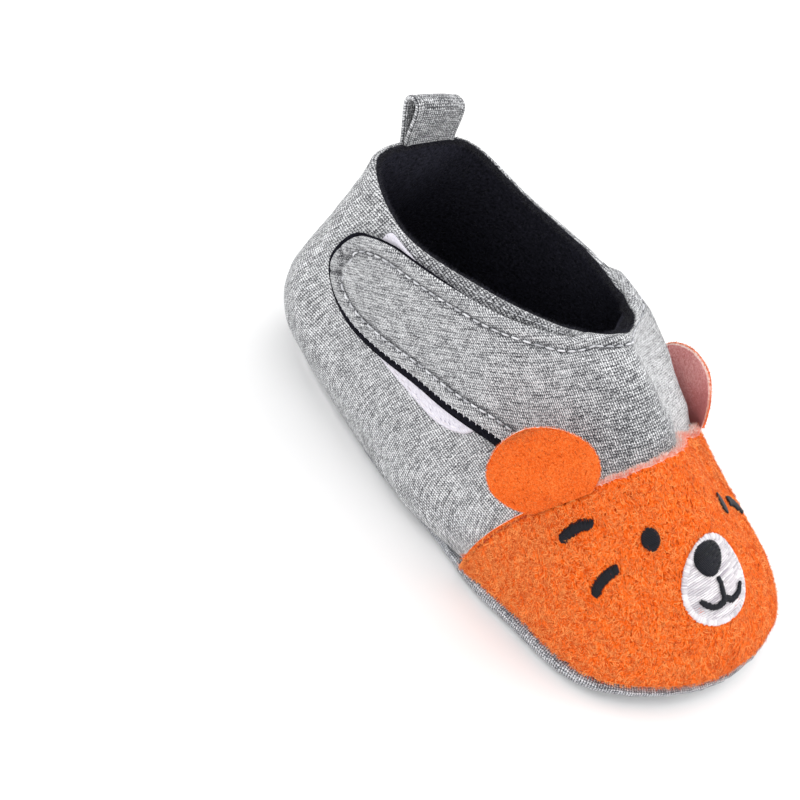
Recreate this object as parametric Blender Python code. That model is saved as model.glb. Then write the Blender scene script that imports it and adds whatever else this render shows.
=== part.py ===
"""Right first walker shoe: a soft jersey bootee with a suede animal toe cap and a hook-and-loop strap.

The upper is a ring of ribs. Each rib is a cubic curve that rises from the sole seam to the collar rim,
and the LAST table places the ribs round the foot. Every panel is a patch of that same surface, lifted
off it by the layers below. A place on the surface has a ring position u, counted in rows of LAST, and
a height v, from 0 at the sole seam to 1 at the rim.
Axes: +X to the toe, +Y to the wearer's left, +Z up. The origin is on the floor, under the middle of
the shoe's box. Sizes are in millimetres and become metres as the meshes are made.
"""

import math
from collections import namedtuple

import bmesh
import bpy
import numpy as np
from mathutils import Vector

MM = 0.001

# Driving sizes of the last
LENGTH = 117.0
BALL_WIDTH = 52.6
HEEL_HEIGHT = 54.0

# Layers, from the foot outwards
WALL = 2.0
GAP = 0.3
CAP_THICK = 1.4
STRAP_THICK = 1.4
TAPE_THICK = 0.8
STITCH_THICK = 0.5

# One row for each rib round the foot, from the heel along the wearer's right side to the toe and back.
# along, rim_along: shares of LENGTH from the heel seam.   across, rim_across: shares of half BALL_WIDTH.
# seam, rim: heights, and bulge, wall, lean, drop: the curve's handles, all as shares of HEEL_HEIGHT.
# The lower handle runs bulge outwards and wall upwards; the upper one lean outwards and drop downwards.
# Behind the cap the wall turns under to the seam, so there the bulge is as long as the wall.
Rib = namedtuple("Rib", "along across seam bulge wall rim_along rim_across rim lean drop")
LAST = {
    "heel":              Rib(0.000,  0.00, 0.050, 0.190, 0.310, 0.045,  0.00, 1.030, 0.01, 0.37),
    "heel_corner_right": Rib(0.035, -0.54, 0.045, 0.300, 0.240, 0.050, -0.60, 1.025, 0.03, 0.37),
    "heel_side_right":   Rib(0.226, -0.83, 0.045, 0.050, 0.055, 0.184, -0.74, 0.920, 0.08, 0.31),
    "waist_right":       Rib(0.449, -1.00, 0.045, 0.030, 0.035, 0.368, -0.63, 0.960, 0.13, 0.24),
    "ball_right":        Rib(0.697, -0.98, 0.076, 0.070, 0.280, 0.487, -0.39, 0.980, 0.22, 0.17),
    "toe_corner_right":  Rib(0.895, -0.84, 0.076, 0.060, 0.280, 0.526, -0.18, 0.970, 0.35, 0.20),
    "toe":               Rib(1.000, -0.02, 0.092, 0.060, 0.310, 0.543,  0.00, 0.960, 0.50, 0.22),
    "toe_corner_left":   Rib(0.940,  0.90, 0.080, 0.060, 0.250, 0.532,  0.18, 0.950, 0.15, 0.40),
    "ball_left":         Rib(0.697,  0.96, 0.076, 0.060, 0.230, 0.494,  0.40, 0.960, 0.25, 0.17),
    "waist_left":        Rib(0.449,  0.94, 0.045, 0.040, 0.045, 0.370,  0.63, 0.920, 0.11, 0.24),
    "heel_side_left":    Rib(0.226,  0.81, 0.045, 0.050, 0.055, 0.192,  0.72, 0.870, 0.06, 0.31),
    "heel_corner_left":  Rib(0.035,  0.54, 0.045, 0.240, 0.240, 0.062,  0.55, 0.940, 0.04, 0.37),
}
ROWS = np.array(list(LAST.values()))
RING = len(ROWS)
TOE = list(LAST).index("toe")
COLUMNS_PER_ROW = 6
UPPER_BANDS = 11

# Steps for the surface's slopes, and how often a search is repeated
SEAM_STEP = 0.05
U_STEP = 0.02
V_STEP = 0.01
HALVINGS = 40
NEWTON_STEPS = 12

# Sole: a soft pad with a rounded rim, flat under the heel and the forefoot. It reaches out past the cap and
# the front panel by SOLE_LIP, and lies SOLE_TUCK inside the seam where the upper turns under.
SOLE_LIP = 0.3
SOLE_TUCK = 0.9
SOLE_EASE_RIGHT = (-0.4, 0.3)
SOLE_EASE_LEFT = (0.0, 1.2)
TOE_SPRING = 2.6
TOE_SPRING_START = 0.80 * LENGTH
ARCH_RISE = 0.8
ARCH_SPAN = (0.30 * LENGTH, 0.58 * LENGTH)
SOLE_HEART = 9.0
# reach: distance out from the lip.   share: height from the underside, 0, to the top, 1.
SoleRim = namedtuple("SoleRim", "reach share")
SOLE_RIM = (
    SoleRim(-SOLE_HEART, 1.00),
    SoleRim(-0.4, 1.00),
    SoleRim(0.0, 0.74),
    SoleRim(-0.2, 0.42),
    SoleRim(-1.1, 0.13),
    SoleRim(-2.8, 0.00),
    SoleRim(-SOLE_HEART, 0.00),
)
INSOLE_THICK = 2.0
INSOLE_INSET = WALL + 2 * GAP

# Toe cap: everything in front of a curved sheet that leans forward as it rises
CAP_BACK = 69.2
CAP_FORWARD = 18.4
CAP_FORWARD_AT = 42.0
CAP_CORNER = 0.02
CAP_GRID = (41, 11)

# Strap: lower and upper edge along the ring, from its round end on the right to the side seam on the left,
# where it widens into the front panel and goes down to the sole
StrapRow = namedtuple("StrapRow", "u low top")
STRAP = (
    StrapRow(1.48, 0.700, 0.725),
    StrapRow(1.52, 0.670, 0.785),
    StrapRow(1.62, 0.640, 0.855),
    StrapRow(1.76, 0.622, 0.903),
    StrapRow(1.98, 0.616, 0.947),
    StrapRow(2.24, 0.618, 0.965),
    StrapRow(2.85, 0.620, 0.953),
    StrapRow(3.50, 0.585, 0.943),
    StrapRow(4.00, 0.552, 0.949),
    StrapRow(4.55, 0.550, 0.970),
    StrapRow(5.00, 0.550, 1.000),
    StrapRow(6.00, 0.550, 1.000),
    StrapRow(6.50, 0.000, 1.000),
    StrapRow(7.60, 0.000, 1.000),
    StrapRow(8.90, 0.000, 0.960),
)
STRAP_ROUND_END = STRAP[4].u
STRAP_OVER_TAPE = (3.45, 4.05)
STRAP_END_COLUMNS = 10
STRAP_COLUMNS = 40
STRAP_BANDS = 7
# Height left free behind the cap's edge, and how far along the ring the edge is looked at for it
EDGE_CLEAR = 0.012
SIDE_CLEAR = 0.04

# Loop tape under the strap's round end, a little askew, so that its lower edge and one corner show
TAPE = (
    StrapRow(1.88, 0.912, 0.934),
    StrapRow(1.93, 0.842, 0.963),
    StrapRow(2.05, 0.690, 0.976),
    StrapRow(2.20, 0.592, 0.965),
    StrapRow(2.40, 0.570, 0.955),
    StrapRow(2.64, 0.554, 0.950),
    StrapRow(2.86, 0.537, 0.941),
    StrapRow(3.10, 0.520, 0.932),
    StrapRow(3.34, 0.522, 0.917),
    StrapRow(3.48, 0.545, 0.891),
    StrapRow(3.56, 0.593, 0.861),
)
TAPE_GRID = (13, 5)

# Ears: round tabs that stand up from the cap's seam, EAR_SEAM in front of its back edge
EAR_RADIUS = 10.9
EAR_CHORD = 14.0
EAR_CUP = 1.2
EAR_SEAM = 1.4
EAR_TOP = math.radians(80.0)
EAR_GRID = (9, 8)
# first and last ring position of each ear's base, its angle up from the surface, and its twist, in degrees
Ear = namedtuple("Ear", "start end stand twist")
EARS = {
    "ear_right": Ear(4.34, 5.05, 37.0, 0.0),
    "ear_left": Ear(7.55, 8.10, 12.0, 16.0),
}

# Pull loop at the back of the collar: a folded strip, whose fold climbs from the left end to the right one
LOOP_SPAN = (-0.46, 0.42)
LOOP_HEIGHT = 10.1
LOOP_CLIMB = (0.92, 1.04)
LOOP_TOP_RADIUS = 2.1
LOOP_FOOT = 1.05
LOOP_STRIP = 0.9
LOOP_FLOOR = 2.2
LOOP_FLOOR_SLOPE = 0.25
LOOP_LEAN = math.radians(9.0)
LOOP_STATIONS = 5
LOOP_SIDE_POINTS = 6
LOOP_ARC_POINTS = 7

# Embroidered patches on the cap: place on the ring, half sizes, turn in degrees, how much wider the lower half
# is, and layer: 0 on the cap, 1 on the muzzle
Patch = namedtuple("Patch", "u v half_wide half_tall turn egg layer colour")
PATCHES = {
    "muzzle":             Patch(5.97, 0.400, 8.6, 8.8, 5.0, 0.14, 0, "white_thread"),
    "nose":               Patch(5.93, 0.460, 3.6, 3.5, 5.0, -0.15, 1, "navy_thread"),
    "eye_right":          Patch(5.50, 0.515, 1.9, 2.3, 0.0, 0.0, 0, "navy_thread"),
    "eye_left":           Patch(6.60, 0.510, 1.9, 2.3, 0.0, 0.0, 0, "navy_thread"),
    "cheek_mark_right_1": Patch(4.88, 0.475, 3.7, 1.2, -18.0, 0.0, 0, "navy_thread"),
    "cheek_mark_right_2": Patch(5.05, 0.375, 3.8, 1.2, -42.0, 0.0, 0, "navy_thread"),
    "cheek_mark_left_1":  Patch(7.70, 0.260, 3.7, 1.2, 18.0, 0.0, 0, "navy_thread"),
    "cheek_mark_left_2":  Patch(6.96, 0.420, 3.8, 1.2, 42.0, 0.0, 0, "navy_thread"),
}
PATCH_SIDES = 14
PATCH_RINGS = (0.55, 1.0)

# Finish of each material: linear colour and roughness
FINISHES = {
    "grey_jersey": ((0.40, 0.41, 0.43), 0.95),
    "sole_jersey": ((0.42, 0.43, 0.45), 0.95),
    "black_fleece": ((0.008, 0.009, 0.012), 1.0),
    "orange_suede": ((0.90, 0.17, 0.025), 0.95),
    "white_tape": ((0.75, 0.74, 0.78), 0.9),
    "white_thread": ((0.80, 0.74, 0.74), 0.55),
    "navy_thread": ((0.012, 0.014, 0.028), 0.5),
}
SHARP_ANGLE = math.radians(40.0)
MERGE_DISTANCE = 0.002


# The last

def ring_row(u):
    """The LAST columns at ring positions u, in millimetres, on a closed Catmull-Rom curve through the rows."""
    u = np.asarray(u, float)
    first = np.floor(u).astype(int)
    t = (u - first)[..., None]
    before, start, end, after = (ROWS[(first + k) % RING] for k in (-1, 0, 1, 2))
    row = start + 0.5 * t * (
        (end - before)
        + t * (2 * before - 5 * start + 4 * end - after)
        + t * t * (3 * (start - end) + after - before)
    )
    half = BALL_WIDTH / 2
    scale = [LENGTH, half, HEEL_HEIGHT, HEEL_HEIGHT, HEEL_HEIGHT, LENGTH, half] + [HEEL_HEIGHT] * 3
    return Rib(*np.moveaxis(row * np.array(scale), -1, 0))


def seam(u):
    """Points of the sole seam, where the upper's outside meets the sole."""
    row = ring_row(u)
    return np.stack([row.along, row.across, row.seam], -1)


def outwards(u):
    """Level unit vectors that point out of the sole seam."""
    step = seam(np.asarray(u) + SEAM_STEP) - seam(np.asarray(u) - SEAM_STEP)
    normal = np.stack([step[..., 1], -step[..., 0], np.zeros_like(step[..., 0])], -1)
    return normal / np.linalg.norm(normal, axis=-1, keepdims=True)


def last(u, v):
    """Points of the upper's outside."""
    u, v = np.broadcast_arrays(np.asarray(u, float), np.asarray(v, float))
    row = ring_row(u)
    out = outwards(u)
    up = np.array([0.0, 0.0, 1.0])
    foot = np.stack([row.along, row.across, row.seam], -1)
    rim = np.stack([row.rim_along, row.rim_across, row.rim], -1)
    low = foot + out * row.bulge[..., None] + up * row.wall[..., None]
    high = rim + out * row.lean[..., None] - up * row.drop[..., None]
    v = v[..., None]
    w = 1 - v
    return w**3 * foot + 3 * w * w * v * low + 3 * w * v * v * high + v**3 * rim


def slopes(u, v):
    """How the upper's outside runs with u and with v."""
    along = (last(u + U_STEP, v) - last(u - U_STEP, v)) / (2 * U_STEP)
    rise = (last(u, v + V_STEP) - last(u, v - V_STEP)) / (2 * V_STEP)
    return along, rise


def normals(u, v):
    """Unit normals of the upper's outside."""
    normal = np.cross(*slopes(u, v))
    return normal / np.linalg.norm(normal, axis=-1, keepdims=True)


def skin(u, v, lift):
    """The upper's outside moved out by lift. Its lower edge stays at the height of the sole seam."""
    u, v, lift = np.broadcast_arrays(*(np.asarray(a, float) for a in (u, v, lift)))
    point = last(u, v) + normals(u, v) * lift[..., None]
    point[..., 2] = np.where(v <= 0, seam(u)[..., 2], point[..., 2])
    return point


def blend(x, start, end):
    """0 before start, 1 after end, smooth between."""
    t = np.clip((np.asarray(x, float) - start) / (end - start), 0, 1)
    return t * t * (3 - 2 * t)


def bisect(f, low, high):
    """Where f changes sign between low and high, element by element."""
    low, high = np.array(low, float), np.array(high, float)
    sign = np.sign(f(low))
    for _ in range(HALVINGS):
        middle = (low + high) / 2
        same = np.sign(f(middle)) == sign
        low, high = np.where(same, middle, low), np.where(same, high, middle)
    return (low + high) / 2


def before_cap_edge(point):
    """How far a point lies in front of the sheet that cuts the cap's back edge."""
    return point[..., 0] - CAP_BACK - CAP_FORWARD * (point[..., 2] / CAP_FORWARD_AT) ** 2


def cap_edge(u, inside=0.0):
    """Height v of the cap's back edge, or of a line inside it."""
    u = np.asarray(u, float)
    return bisect(lambda v: before_cap_edge(last(u, v)) - inside, np.zeros_like(u), np.ones_like(u))


def cap_corner(side_row):
    """Ring position where the cap's back edge meets the sole seam, between side_row and the next row."""
    return float(bisect(lambda u: before_cap_edge(seam(u)), side_row, side_row + 1.0))


CAP_RIGHT = cap_corner(TOE - 3)
CAP_LEFT = cap_corner(TOE + 2)


# Making solids

def material(name):
    """A plain Principled material, made once."""
    found = bpy.data.materials.get(name)
    if found:
        return found
    made = bpy.data.materials.new(name)
    made.use_nodes = True
    shader = made.node_tree.nodes["Principled BSDF"]
    colour, roughness = FINISHES[name]
    shader.inputs["Base Color"].default_value = (*colour, 1.0)
    shader.inputs["Roughness"].default_value = roughness
    shader.inputs["Metallic"].default_value = 0.0
    made.diffuse_color = (*colour, 1.0)
    return made


def solid(name, points, faces, finish):
    """One named object from points in millimetres, with its faces turned outwards."""
    mesh = bpy.data.meshes.new(name)
    bm = bmesh.new()
    corners = [bm.verts.new(Vector(p) * MM) for p in points]
    for face in faces:
        bm.faces.new([corners[i] for i in face])
    bmesh.ops.remove_doubles(bm, verts=bm.verts, dist=MERGE_DISTANCE * MM)
    bmesh.ops.recalc_face_normals(bm, faces=bm.faces)
    bm.to_mesh(mesh)
    bm.free()
    mesh.shade_smooth()
    mesh.set_sharp_from_angle(angle=SHARP_ANGLE)
    mesh.materials.append(material(finish))
    made = bpy.data.objects.new(name, mesh)
    bpy.context.scene.collection.objects.link(made)
    return made


def thick_grid(name, inner, outer, finish, closed=False):
    """A solid between two grids of points [column, row]. A closed grid's columns form a ring."""
    columns, rows = inner.shape[:2]
    points = np.concatenate([inner.reshape(-1, 3), outer.reshape(-1, 3)])
    skip = columns * rows

    def at(column, row):
        return (column % columns) * rows + row

    faces = []
    for c in range(columns if closed else columns - 1):
        for r in range(rows - 1):
            quad = (at(c, r), at(c + 1, r), at(c + 1, r + 1), at(c, r + 1))
            faces.append(quad)
            faces.append(tuple(i + skip for i in reversed(quad)))
        for r in (0, rows - 1):
            faces.append((at(c, r), at(c + 1, r), at(c + 1, r) + skip, at(c, r) + skip))
    if not closed:
        for c in (0, columns - 1):
            for r in range(rows - 1):
                faces.append((at(c, r), at(c, r + 1), at(c, r + 1) + skip, at(c, r) + skip))
    return solid(name, points, faces, finish)


def panel(name, u, low, top, rows, lift, thick, finish):
    """A patch of the upper's surface between the heights low and top at each u, lifted and thick as stated."""
    share = np.linspace(0, 1, rows)
    v = low[:, None] + (top - low)[:, None] * share
    u = np.broadcast_to(u[:, None], v.shape)
    lift = np.broadcast_to(np.asarray(lift, float).reshape(-1, 1), v.shape)
    return thick_grid(name, skin(u, v, lift), skin(u, v, lift + thick), finish)


def plate(name, rings, finish):
    """A solid from closed rings of points, first and last filled straight across from right to left."""
    count = len(rings[0])
    points = np.concatenate(rings)
    faces = []
    for k in range(len(rings) - 1):
        for i in range(count):
            j = (i + 1) % count
            faces.append((k * count + i, k * count + j, (k + 1) * count + j, (k + 1) * count + i))
    for k in (0, len(rings) - 1):
        for i in range(count // 2):
            a, b = k * count + i, k * count + i + 1
            c, d = k * count + (count - i - 1) % count, k * count + (count - i) % count
            faces.append(tuple(dict.fromkeys((a, b, c, d))))
    return solid(name, points, faces, finish)


# The pieces

def ring_columns():
    return np.arange(RING * COLUMNS_PER_ROW) / COLUMNS_PER_ROW


def make_upper():
    """The hollow upper: one wall, open at the collar and underneath."""
    u, v = np.meshgrid(ring_columns(), np.linspace(0, 1, UPPER_BANDS + 1), indexing="ij")
    return thick_grid("upper", skin(u, v, -WALL), skin(u, v, 0.0), "grey_jersey", closed=True)


def sole_bottom(x):
    """Height of the sole's underside: level, but for a shallow arch and the toe spring."""
    start, end = ARCH_SPAN
    arch = np.where((x > start) & (x < end), np.sin(np.pi * (x - start) / (end - start)) ** 2, 0.0)
    spring = np.clip((x - TOE_SPRING_START) / (LENGTH - TOE_SPRING_START), 0, None) ** 2
    return ARCH_RISE * arch + TOE_SPRING * spring


def sole_lip(u):
    """How far the sole reaches out past the seam."""
    right = blend(u - CAP_RIGHT, *SOLE_EASE_RIGHT)
    left = 1 - blend(u - STRAP[-1].u, *SOLE_EASE_LEFT)
    return right * left * (SOLE_LIP + GAP + CAP_THICK + SOLE_TUCK) - SOLE_TUCK


def make_sole():
    """The padded sole."""
    u = ring_columns()
    edge, out = seam(u), outwards(u)
    top = edge[:, 2] - GAP
    rings = []
    for rim in SOLE_RIM:
        ring = edge + out * (sole_lip(u) + rim.reach)[:, None]
        bottom = sole_bottom(ring[:, 0])
        ring[:, 2] = bottom + (top - bottom) * rim.share
        rings.append(ring)
    return plate("sole", rings, "sole_jersey")


def make_insole():
    """The footbed, on the sole and inside the upper's wall."""
    u = ring_columns()
    edge = seam(u) - outwards(u) * INSOLE_INSET
    rings = []
    for inset, height in ((SOLE_HEART, 0.0), (0.0, 0.0), (0.0, INSOLE_THICK), (SOLE_HEART, INSOLE_THICK)):
        ring = edge - outwards(u) * inset
        ring[:, 2] = edge[:, 2] + height
        rings.append(ring)
    return plate("insole", rings, "black_fleece")


def make_toe_cap():
    """The suede cap over the toe, from the sole seam up to its curved back edge."""
    columns, rows = CAP_GRID
    u = np.linspace(CAP_RIGHT + CAP_CORNER, CAP_LEFT - CAP_CORNER, columns)
    return panel("toe_cap", u, np.zeros_like(u), cap_edge(u), rows, GAP, CAP_THICK, "orange_suede")


def make_ear(name):
    """A round tab that stands up from the cap's seam, a little cupped."""
    columns, rows = EAR_GRID
    ear = EARS[name]
    stand = math.radians(ear.stand)
    twist = math.radians(ear.twist)
    u = np.linspace(ear.start, ear.end, columns)
    v = cap_edge(u, EAR_SEAM)
    base = skin(u, v, GAP + CAP_THICK + GAP + CAP_THICK / 2)
    middle = columns // 2
    chord = base[-1] - base[0]
    chord /= np.linalg.norm(chord)
    face = normals(u[middle], v[middle])
    grow = math.cos(stand) * np.cross(face, chord) + math.sin(stand) * face
    front = np.cross(chord, grow)
    side = math.cos(twist) * chord - math.sin(twist) * front
    front = math.cos(twist) * front + math.sin(twist) * chord
    rise = math.sqrt(EAR_RADIUS**2 - EAR_CHORD**2 / 4)
    angles = np.linspace(-math.asin(rise / EAR_RADIUS), EAR_TOP, rows)
    across = np.linspace(-1, 1, columns)
    centre = (base[0] + base[-1]) / 2
    foot = base - centre - np.outer(across * EAR_CHORD / 2, side)
    sheet = np.zeros((columns, rows, 3))
    for r, angle in enumerate(angles):
        height = rise + EAR_RADIUS * math.sin(angle)
        width = EAR_RADIUS * math.cos(angle)
        fade = (1 - height / (rise + EAR_RADIUS)) ** 2
        flat = centre + np.outer(across * width, side) + height * grow
        bend = EAR_CUP * (across * width / EAR_RADIUS) ** 2
        sheet[:, r] = flat + np.outer(bend, front) * (1 - fade) + foot * fade
    half = front * CAP_THICK / 2
    return thick_grid(name, sheet - half, sheet + half, "orange_suede")


def edge_at(rows, u):
    """Lower and upper edge of a strap or tape at ring positions u."""
    knots = np.array([row.u for row in rows])
    low = np.interp(u, knots, [row.low for row in rows])
    top = np.interp(u, knots, [row.top for row in rows])
    return low, top


def behind_cap(u):
    """The lowest height that stays clear of the cap's back edge, and 0 beside the cap."""
    places = [u - SIDE_CLEAR, u, u + SIDE_CLEAR]
    places = [np.clip(place, CAP_RIGHT + CAP_CORNER, CAP_LEFT - CAP_CORNER) for place in places]
    edge = np.max([cap_edge(place) for place in places], axis=0)
    in_cap = (u > CAP_RIGHT - SIDE_CLEAR) & (u < CAP_LEFT + SIDE_CLEAR)
    return np.where(in_cap, edge + EDGE_CLEAR, 0.0)


def make_strap():
    """The closing strap: over the instep, down to the loop tape on the right, sewn flat on the left."""
    end = np.linspace(STRAP[0].u, STRAP_ROUND_END, STRAP_END_COLUMNS)
    rest = np.linspace(STRAP_ROUND_END, STRAP[-1].u, STRAP_COLUMNS)
    u = np.concatenate([end, rest[1:]])
    low, top = edge_at(STRAP, u)
    low = np.maximum(low, behind_cap(u))
    over_tape = 1 - blend(u, *STRAP_OVER_TAPE)
    lift = GAP + (TAPE_THICK + GAP) * over_tape
    return panel("strap", u, low, top, STRAP_BANDS, lift, STRAP_THICK, "grey_jersey")


def make_loop_tape():
    """The white loop tape on the side of the upper, under the strap."""
    columns, rows = TAPE_GRID
    u = np.linspace(TAPE[0].u, TAPE[-1].u, columns)
    low, top = edge_at(TAPE, u)
    return panel("loop_tape", u, low, top, rows, GAP, TAPE_THICK, "white_tape")


def loop_profile():
    """Outer and inner outline of the folded strip, side on: thickness and height, as two rings of pairs."""
    shoulder = LOOP_HEIGHT - LOOP_TOP_RADIUS
    heights = np.linspace(0, shoulder, LOOP_SIDE_POINTS)
    half = LOOP_FOOT + (LOOP_TOP_RADIUS - LOOP_FOOT) * blend(heights, 0, shoulder)
    hole = np.maximum(heights, LOOP_FLOOR + heights * LOOP_FLOOR_SLOPE)
    arc = np.linspace(0, np.pi, LOOP_ARC_POINTS)[1:-1]
    outer, inner = [(0.0, 0.0)], [(0.0, LOOP_FLOOR)]
    outer += list(zip(half, heights))
    inner += list(zip(half - LOOP_STRIP, hole))
    for radius, ring in ((LOOP_TOP_RADIUS, outer), (LOOP_TOP_RADIUS - LOOP_STRIP, inner)):
        ring += [(radius * math.cos(a), shoulder + radius * math.sin(a)) for a in arc]
    outer += list(zip(-half[::-1], heights[::-1]))
    inner += list(zip(LOOP_STRIP - half[::-1], hole[::-1]))
    return np.array(outer), np.array(inner)


def make_pull_loop():
    """The pull loop: a folded strip on the middle of the rim at the heel, leaning back."""
    stations = np.linspace(*LOOP_SPAN, LOOP_STATIONS)
    climb = np.linspace(*LOOP_CLIMB, LOOP_STATIONS)
    seat = skin(stations, 1.0, -WALL / 2)
    rim = np.maximum(skin(stations, 1.0, 0.0)[:, 2], skin(stations, 1.0, -WALL)[:, 2])
    seat[:, 2] = rim + GAP + LOOP_FOOT * math.sin(LOOP_LEAN)
    forward = np.array([math.cos(LOOP_LEAN), 0.0, math.sin(LOOP_LEAN)])
    up = np.array([-math.sin(LOOP_LEAN), 0.0, math.cos(LOOP_LEAN)])

    def placed(profile):
        thick, height = profile[:, :1, None], profile[:, 1:, None]
        return seat + thick * forward + height * climb[:, None] * up

    outer, inner = loop_profile()
    return thick_grid("pull_loop", placed(inner), placed(outer), "grey_jersey", closed=True)


def make_patch(name):
    """A low embroidered patch that follows the cap's surface."""
    patch = PATCHES[name]
    centre = last(patch.u, patch.v)
    face = normals(patch.u, patch.v)
    down = -slopes(patch.u, patch.v)[1]
    down -= face * down.dot(face)
    down /= np.linalg.norm(down)
    side = np.cross(face, down)
    turn = math.radians(patch.turn)
    wide = side * math.cos(turn) + down * math.sin(turn)
    tall = down * math.cos(turn) - side * math.sin(turn)
    lift = GAP + CAP_THICK + GAP + patch.layer * (STITCH_THICK + GAP)
    angles = np.arange(PATCH_SIDES) * 2 * np.pi / PATCH_SIDES
    outline = np.stack([np.cos(angles) * (1 + patch.egg * np.sin(angles)), np.sin(angles)], -1)
    loops = [np.zeros((PATCH_SIDES, 2))]
    loops += [share * outline for share in PATCH_RINGS]
    grid = np.stack(loops, 1)
    targets = centre + grid[..., :1] * patch.half_wide * wide + grid[..., 1:] * patch.half_tall * tall
    u, v = nearest_place(targets, face, patch.u, patch.v)
    return thick_grid(name, skin(u, v, lift), skin(u, v, lift + STITCH_THICK), patch.colour, closed=True)


def nearest_place(targets, face, u, v):
    """Ring positions and heights of the surface points under the targets, seen along face."""
    u, v = np.full(targets.shape[:2], float(u)), np.full(targets.shape[:2], float(v))
    for _ in range(NEWTON_STEPS):
        miss = targets - last(u, v)
        along, rise = slopes(u, v)
        miss, along, rise = (a - (a @ face)[..., None] * face for a in (miss, along, rise))
        aa, ar, rr = (along * along).sum(-1), (along * rise).sum(-1), (rise * rise).sum(-1)
        ma, mr = (miss * along).sum(-1), (miss * rise).sum(-1)
        bottom = aa * rr - ar * ar
        u = u + (ma * rr - mr * ar) / bottom
        v = v + (mr * aa - ma * ar) / bottom
    return u, v


def stand_on_origin(pieces):
    """Hang the pieces on one empty, so that the middle of their box stands on the origin."""
    corners = np.array([v.co for piece in pieces for v in piece.data.vertices])
    middle = (corners.min(0) + corners.max(0)) / 2
    shoe = bpy.data.objects.new("shoe", None)
    bpy.context.scene.collection.objects.link(shoe)
    for piece in pieces:
        piece.parent = shoe
    shoe.location = (-middle[0], -middle[1], -corners[:, 2].min())


def main():
    for old in list(bpy.data.objects):
        bpy.data.objects.remove(old)
    pieces = [make_sole(), make_insole(), make_upper(), make_toe_cap()]
    pieces += [make_ear(name) for name in EARS]
    pieces += [make_loop_tape(), make_strap(), make_pull_loop()]
    pieces += [make_patch(name) for name in PATCHES]
    stand_on_origin(pieces)


main()
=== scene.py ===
import math
from collections import namedtuple

import bmesh
import bpy
import numpy as np
from mathutils import Matrix, Vector


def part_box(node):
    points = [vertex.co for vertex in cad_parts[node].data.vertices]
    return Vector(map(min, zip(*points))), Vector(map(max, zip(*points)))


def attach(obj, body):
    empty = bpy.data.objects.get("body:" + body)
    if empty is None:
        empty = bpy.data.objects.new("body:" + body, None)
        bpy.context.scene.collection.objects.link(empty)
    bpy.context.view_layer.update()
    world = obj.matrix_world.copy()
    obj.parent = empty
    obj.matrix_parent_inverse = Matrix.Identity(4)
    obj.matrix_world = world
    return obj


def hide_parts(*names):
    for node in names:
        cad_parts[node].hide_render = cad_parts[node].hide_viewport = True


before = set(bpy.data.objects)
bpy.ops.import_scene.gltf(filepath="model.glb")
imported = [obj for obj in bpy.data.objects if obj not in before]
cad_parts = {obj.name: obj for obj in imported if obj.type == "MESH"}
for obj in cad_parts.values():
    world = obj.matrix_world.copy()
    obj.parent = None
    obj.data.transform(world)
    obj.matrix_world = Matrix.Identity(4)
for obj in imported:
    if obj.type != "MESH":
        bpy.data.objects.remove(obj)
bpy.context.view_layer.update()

# Looks of a right first walker shoe. Every panel is a patch of one surface, the last, which is the same
# as in the part: a ring of ribs, with a ring position u counted in rows of LAST and a height v from 0 at
# the sole seam to 1 at the rim. Sizes are in millimetres and become metres as the meshes are made.

MM = 0.001
RANDOM = np.random.default_rng(11)

# Driving sizes and layers of the part
LENGTH = 117.0
BALL_WIDTH = 52.6
HEEL_HEIGHT = 54.0
WALL = 2.0
GAP = 0.3
CAP_THICK = 1.4
STRAP_THICK = 1.4
TAPE_THICK = 0.8

Rib = namedtuple("Rib", "along across seam bulge wall rim_along rim_across rim lean drop")
LAST = {
    "heel":              Rib(0.000,  0.00, 0.050, 0.190, 0.310, 0.045,  0.00, 1.030, 0.01, 0.37),
    "heel_corner_right": Rib(0.035, -0.54, 0.045, 0.300, 0.240, 0.050, -0.60, 1.025, 0.03, 0.37),
    "heel_side_right":   Rib(0.226, -0.83, 0.045, 0.050, 0.055, 0.184, -0.74, 0.920, 0.08, 0.31),
    "waist_right":       Rib(0.449, -1.00, 0.045, 0.030, 0.035, 0.368, -0.63, 0.960, 0.13, 0.24),
    "ball_right":        Rib(0.697, -0.98, 0.076, 0.070, 0.280, 0.487, -0.39, 0.980, 0.22, 0.17),
    "toe_corner_right":  Rib(0.895, -0.84, 0.076, 0.060, 0.280, 0.526, -0.18, 0.970, 0.35, 0.20),
    "toe":               Rib(1.000, -0.02, 0.092, 0.060, 0.310, 0.543,  0.00, 0.960, 0.50, 0.22),
    "toe_corner_left":   Rib(0.940,  0.90, 0.080, 0.060, 0.250, 0.532,  0.18, 0.950, 0.15, 0.40),
    "ball_left":         Rib(0.697,  0.96, 0.076, 0.060, 0.230, 0.494,  0.40, 0.960, 0.25, 0.17),
    "waist_left":        Rib(0.449,  0.94, 0.045, 0.040, 0.045, 0.370,  0.63, 0.920, 0.11, 0.24),
    "heel_side_left":    Rib(0.226,  0.81, 0.045, 0.050, 0.055, 0.192,  0.72, 0.870, 0.06, 0.31),
    "heel_corner_left":  Rib(0.035,  0.54, 0.045, 0.240, 0.240, 0.062,  0.55, 0.940, 0.04, 0.37),
}
ROWS = np.array(list(LAST.values()))
RING = len(ROWS)
TOE = list(LAST).index("toe")
CAD_COLUMNS = 72
CAD_ROWS = 12

SOLE_LIP = 0.3
SOLE_TUCK = 0.9
SOLE_EASE_RIGHT = (-0.4, 0.3)
SOLE_EASE_LEFT = (0.0, 1.2)
TOE_SPRING = 2.6
TOE_SPRING_START = 0.80 * LENGTH
ARCH_RISE = 0.8
ARCH_SPAN = (0.30 * LENGTH, 0.58 * LENGTH)
INSOLE_THICK = 2.0
INSOLE_INSET = WALL + 2 * GAP
SOLE_HEART = 9.0

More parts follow.
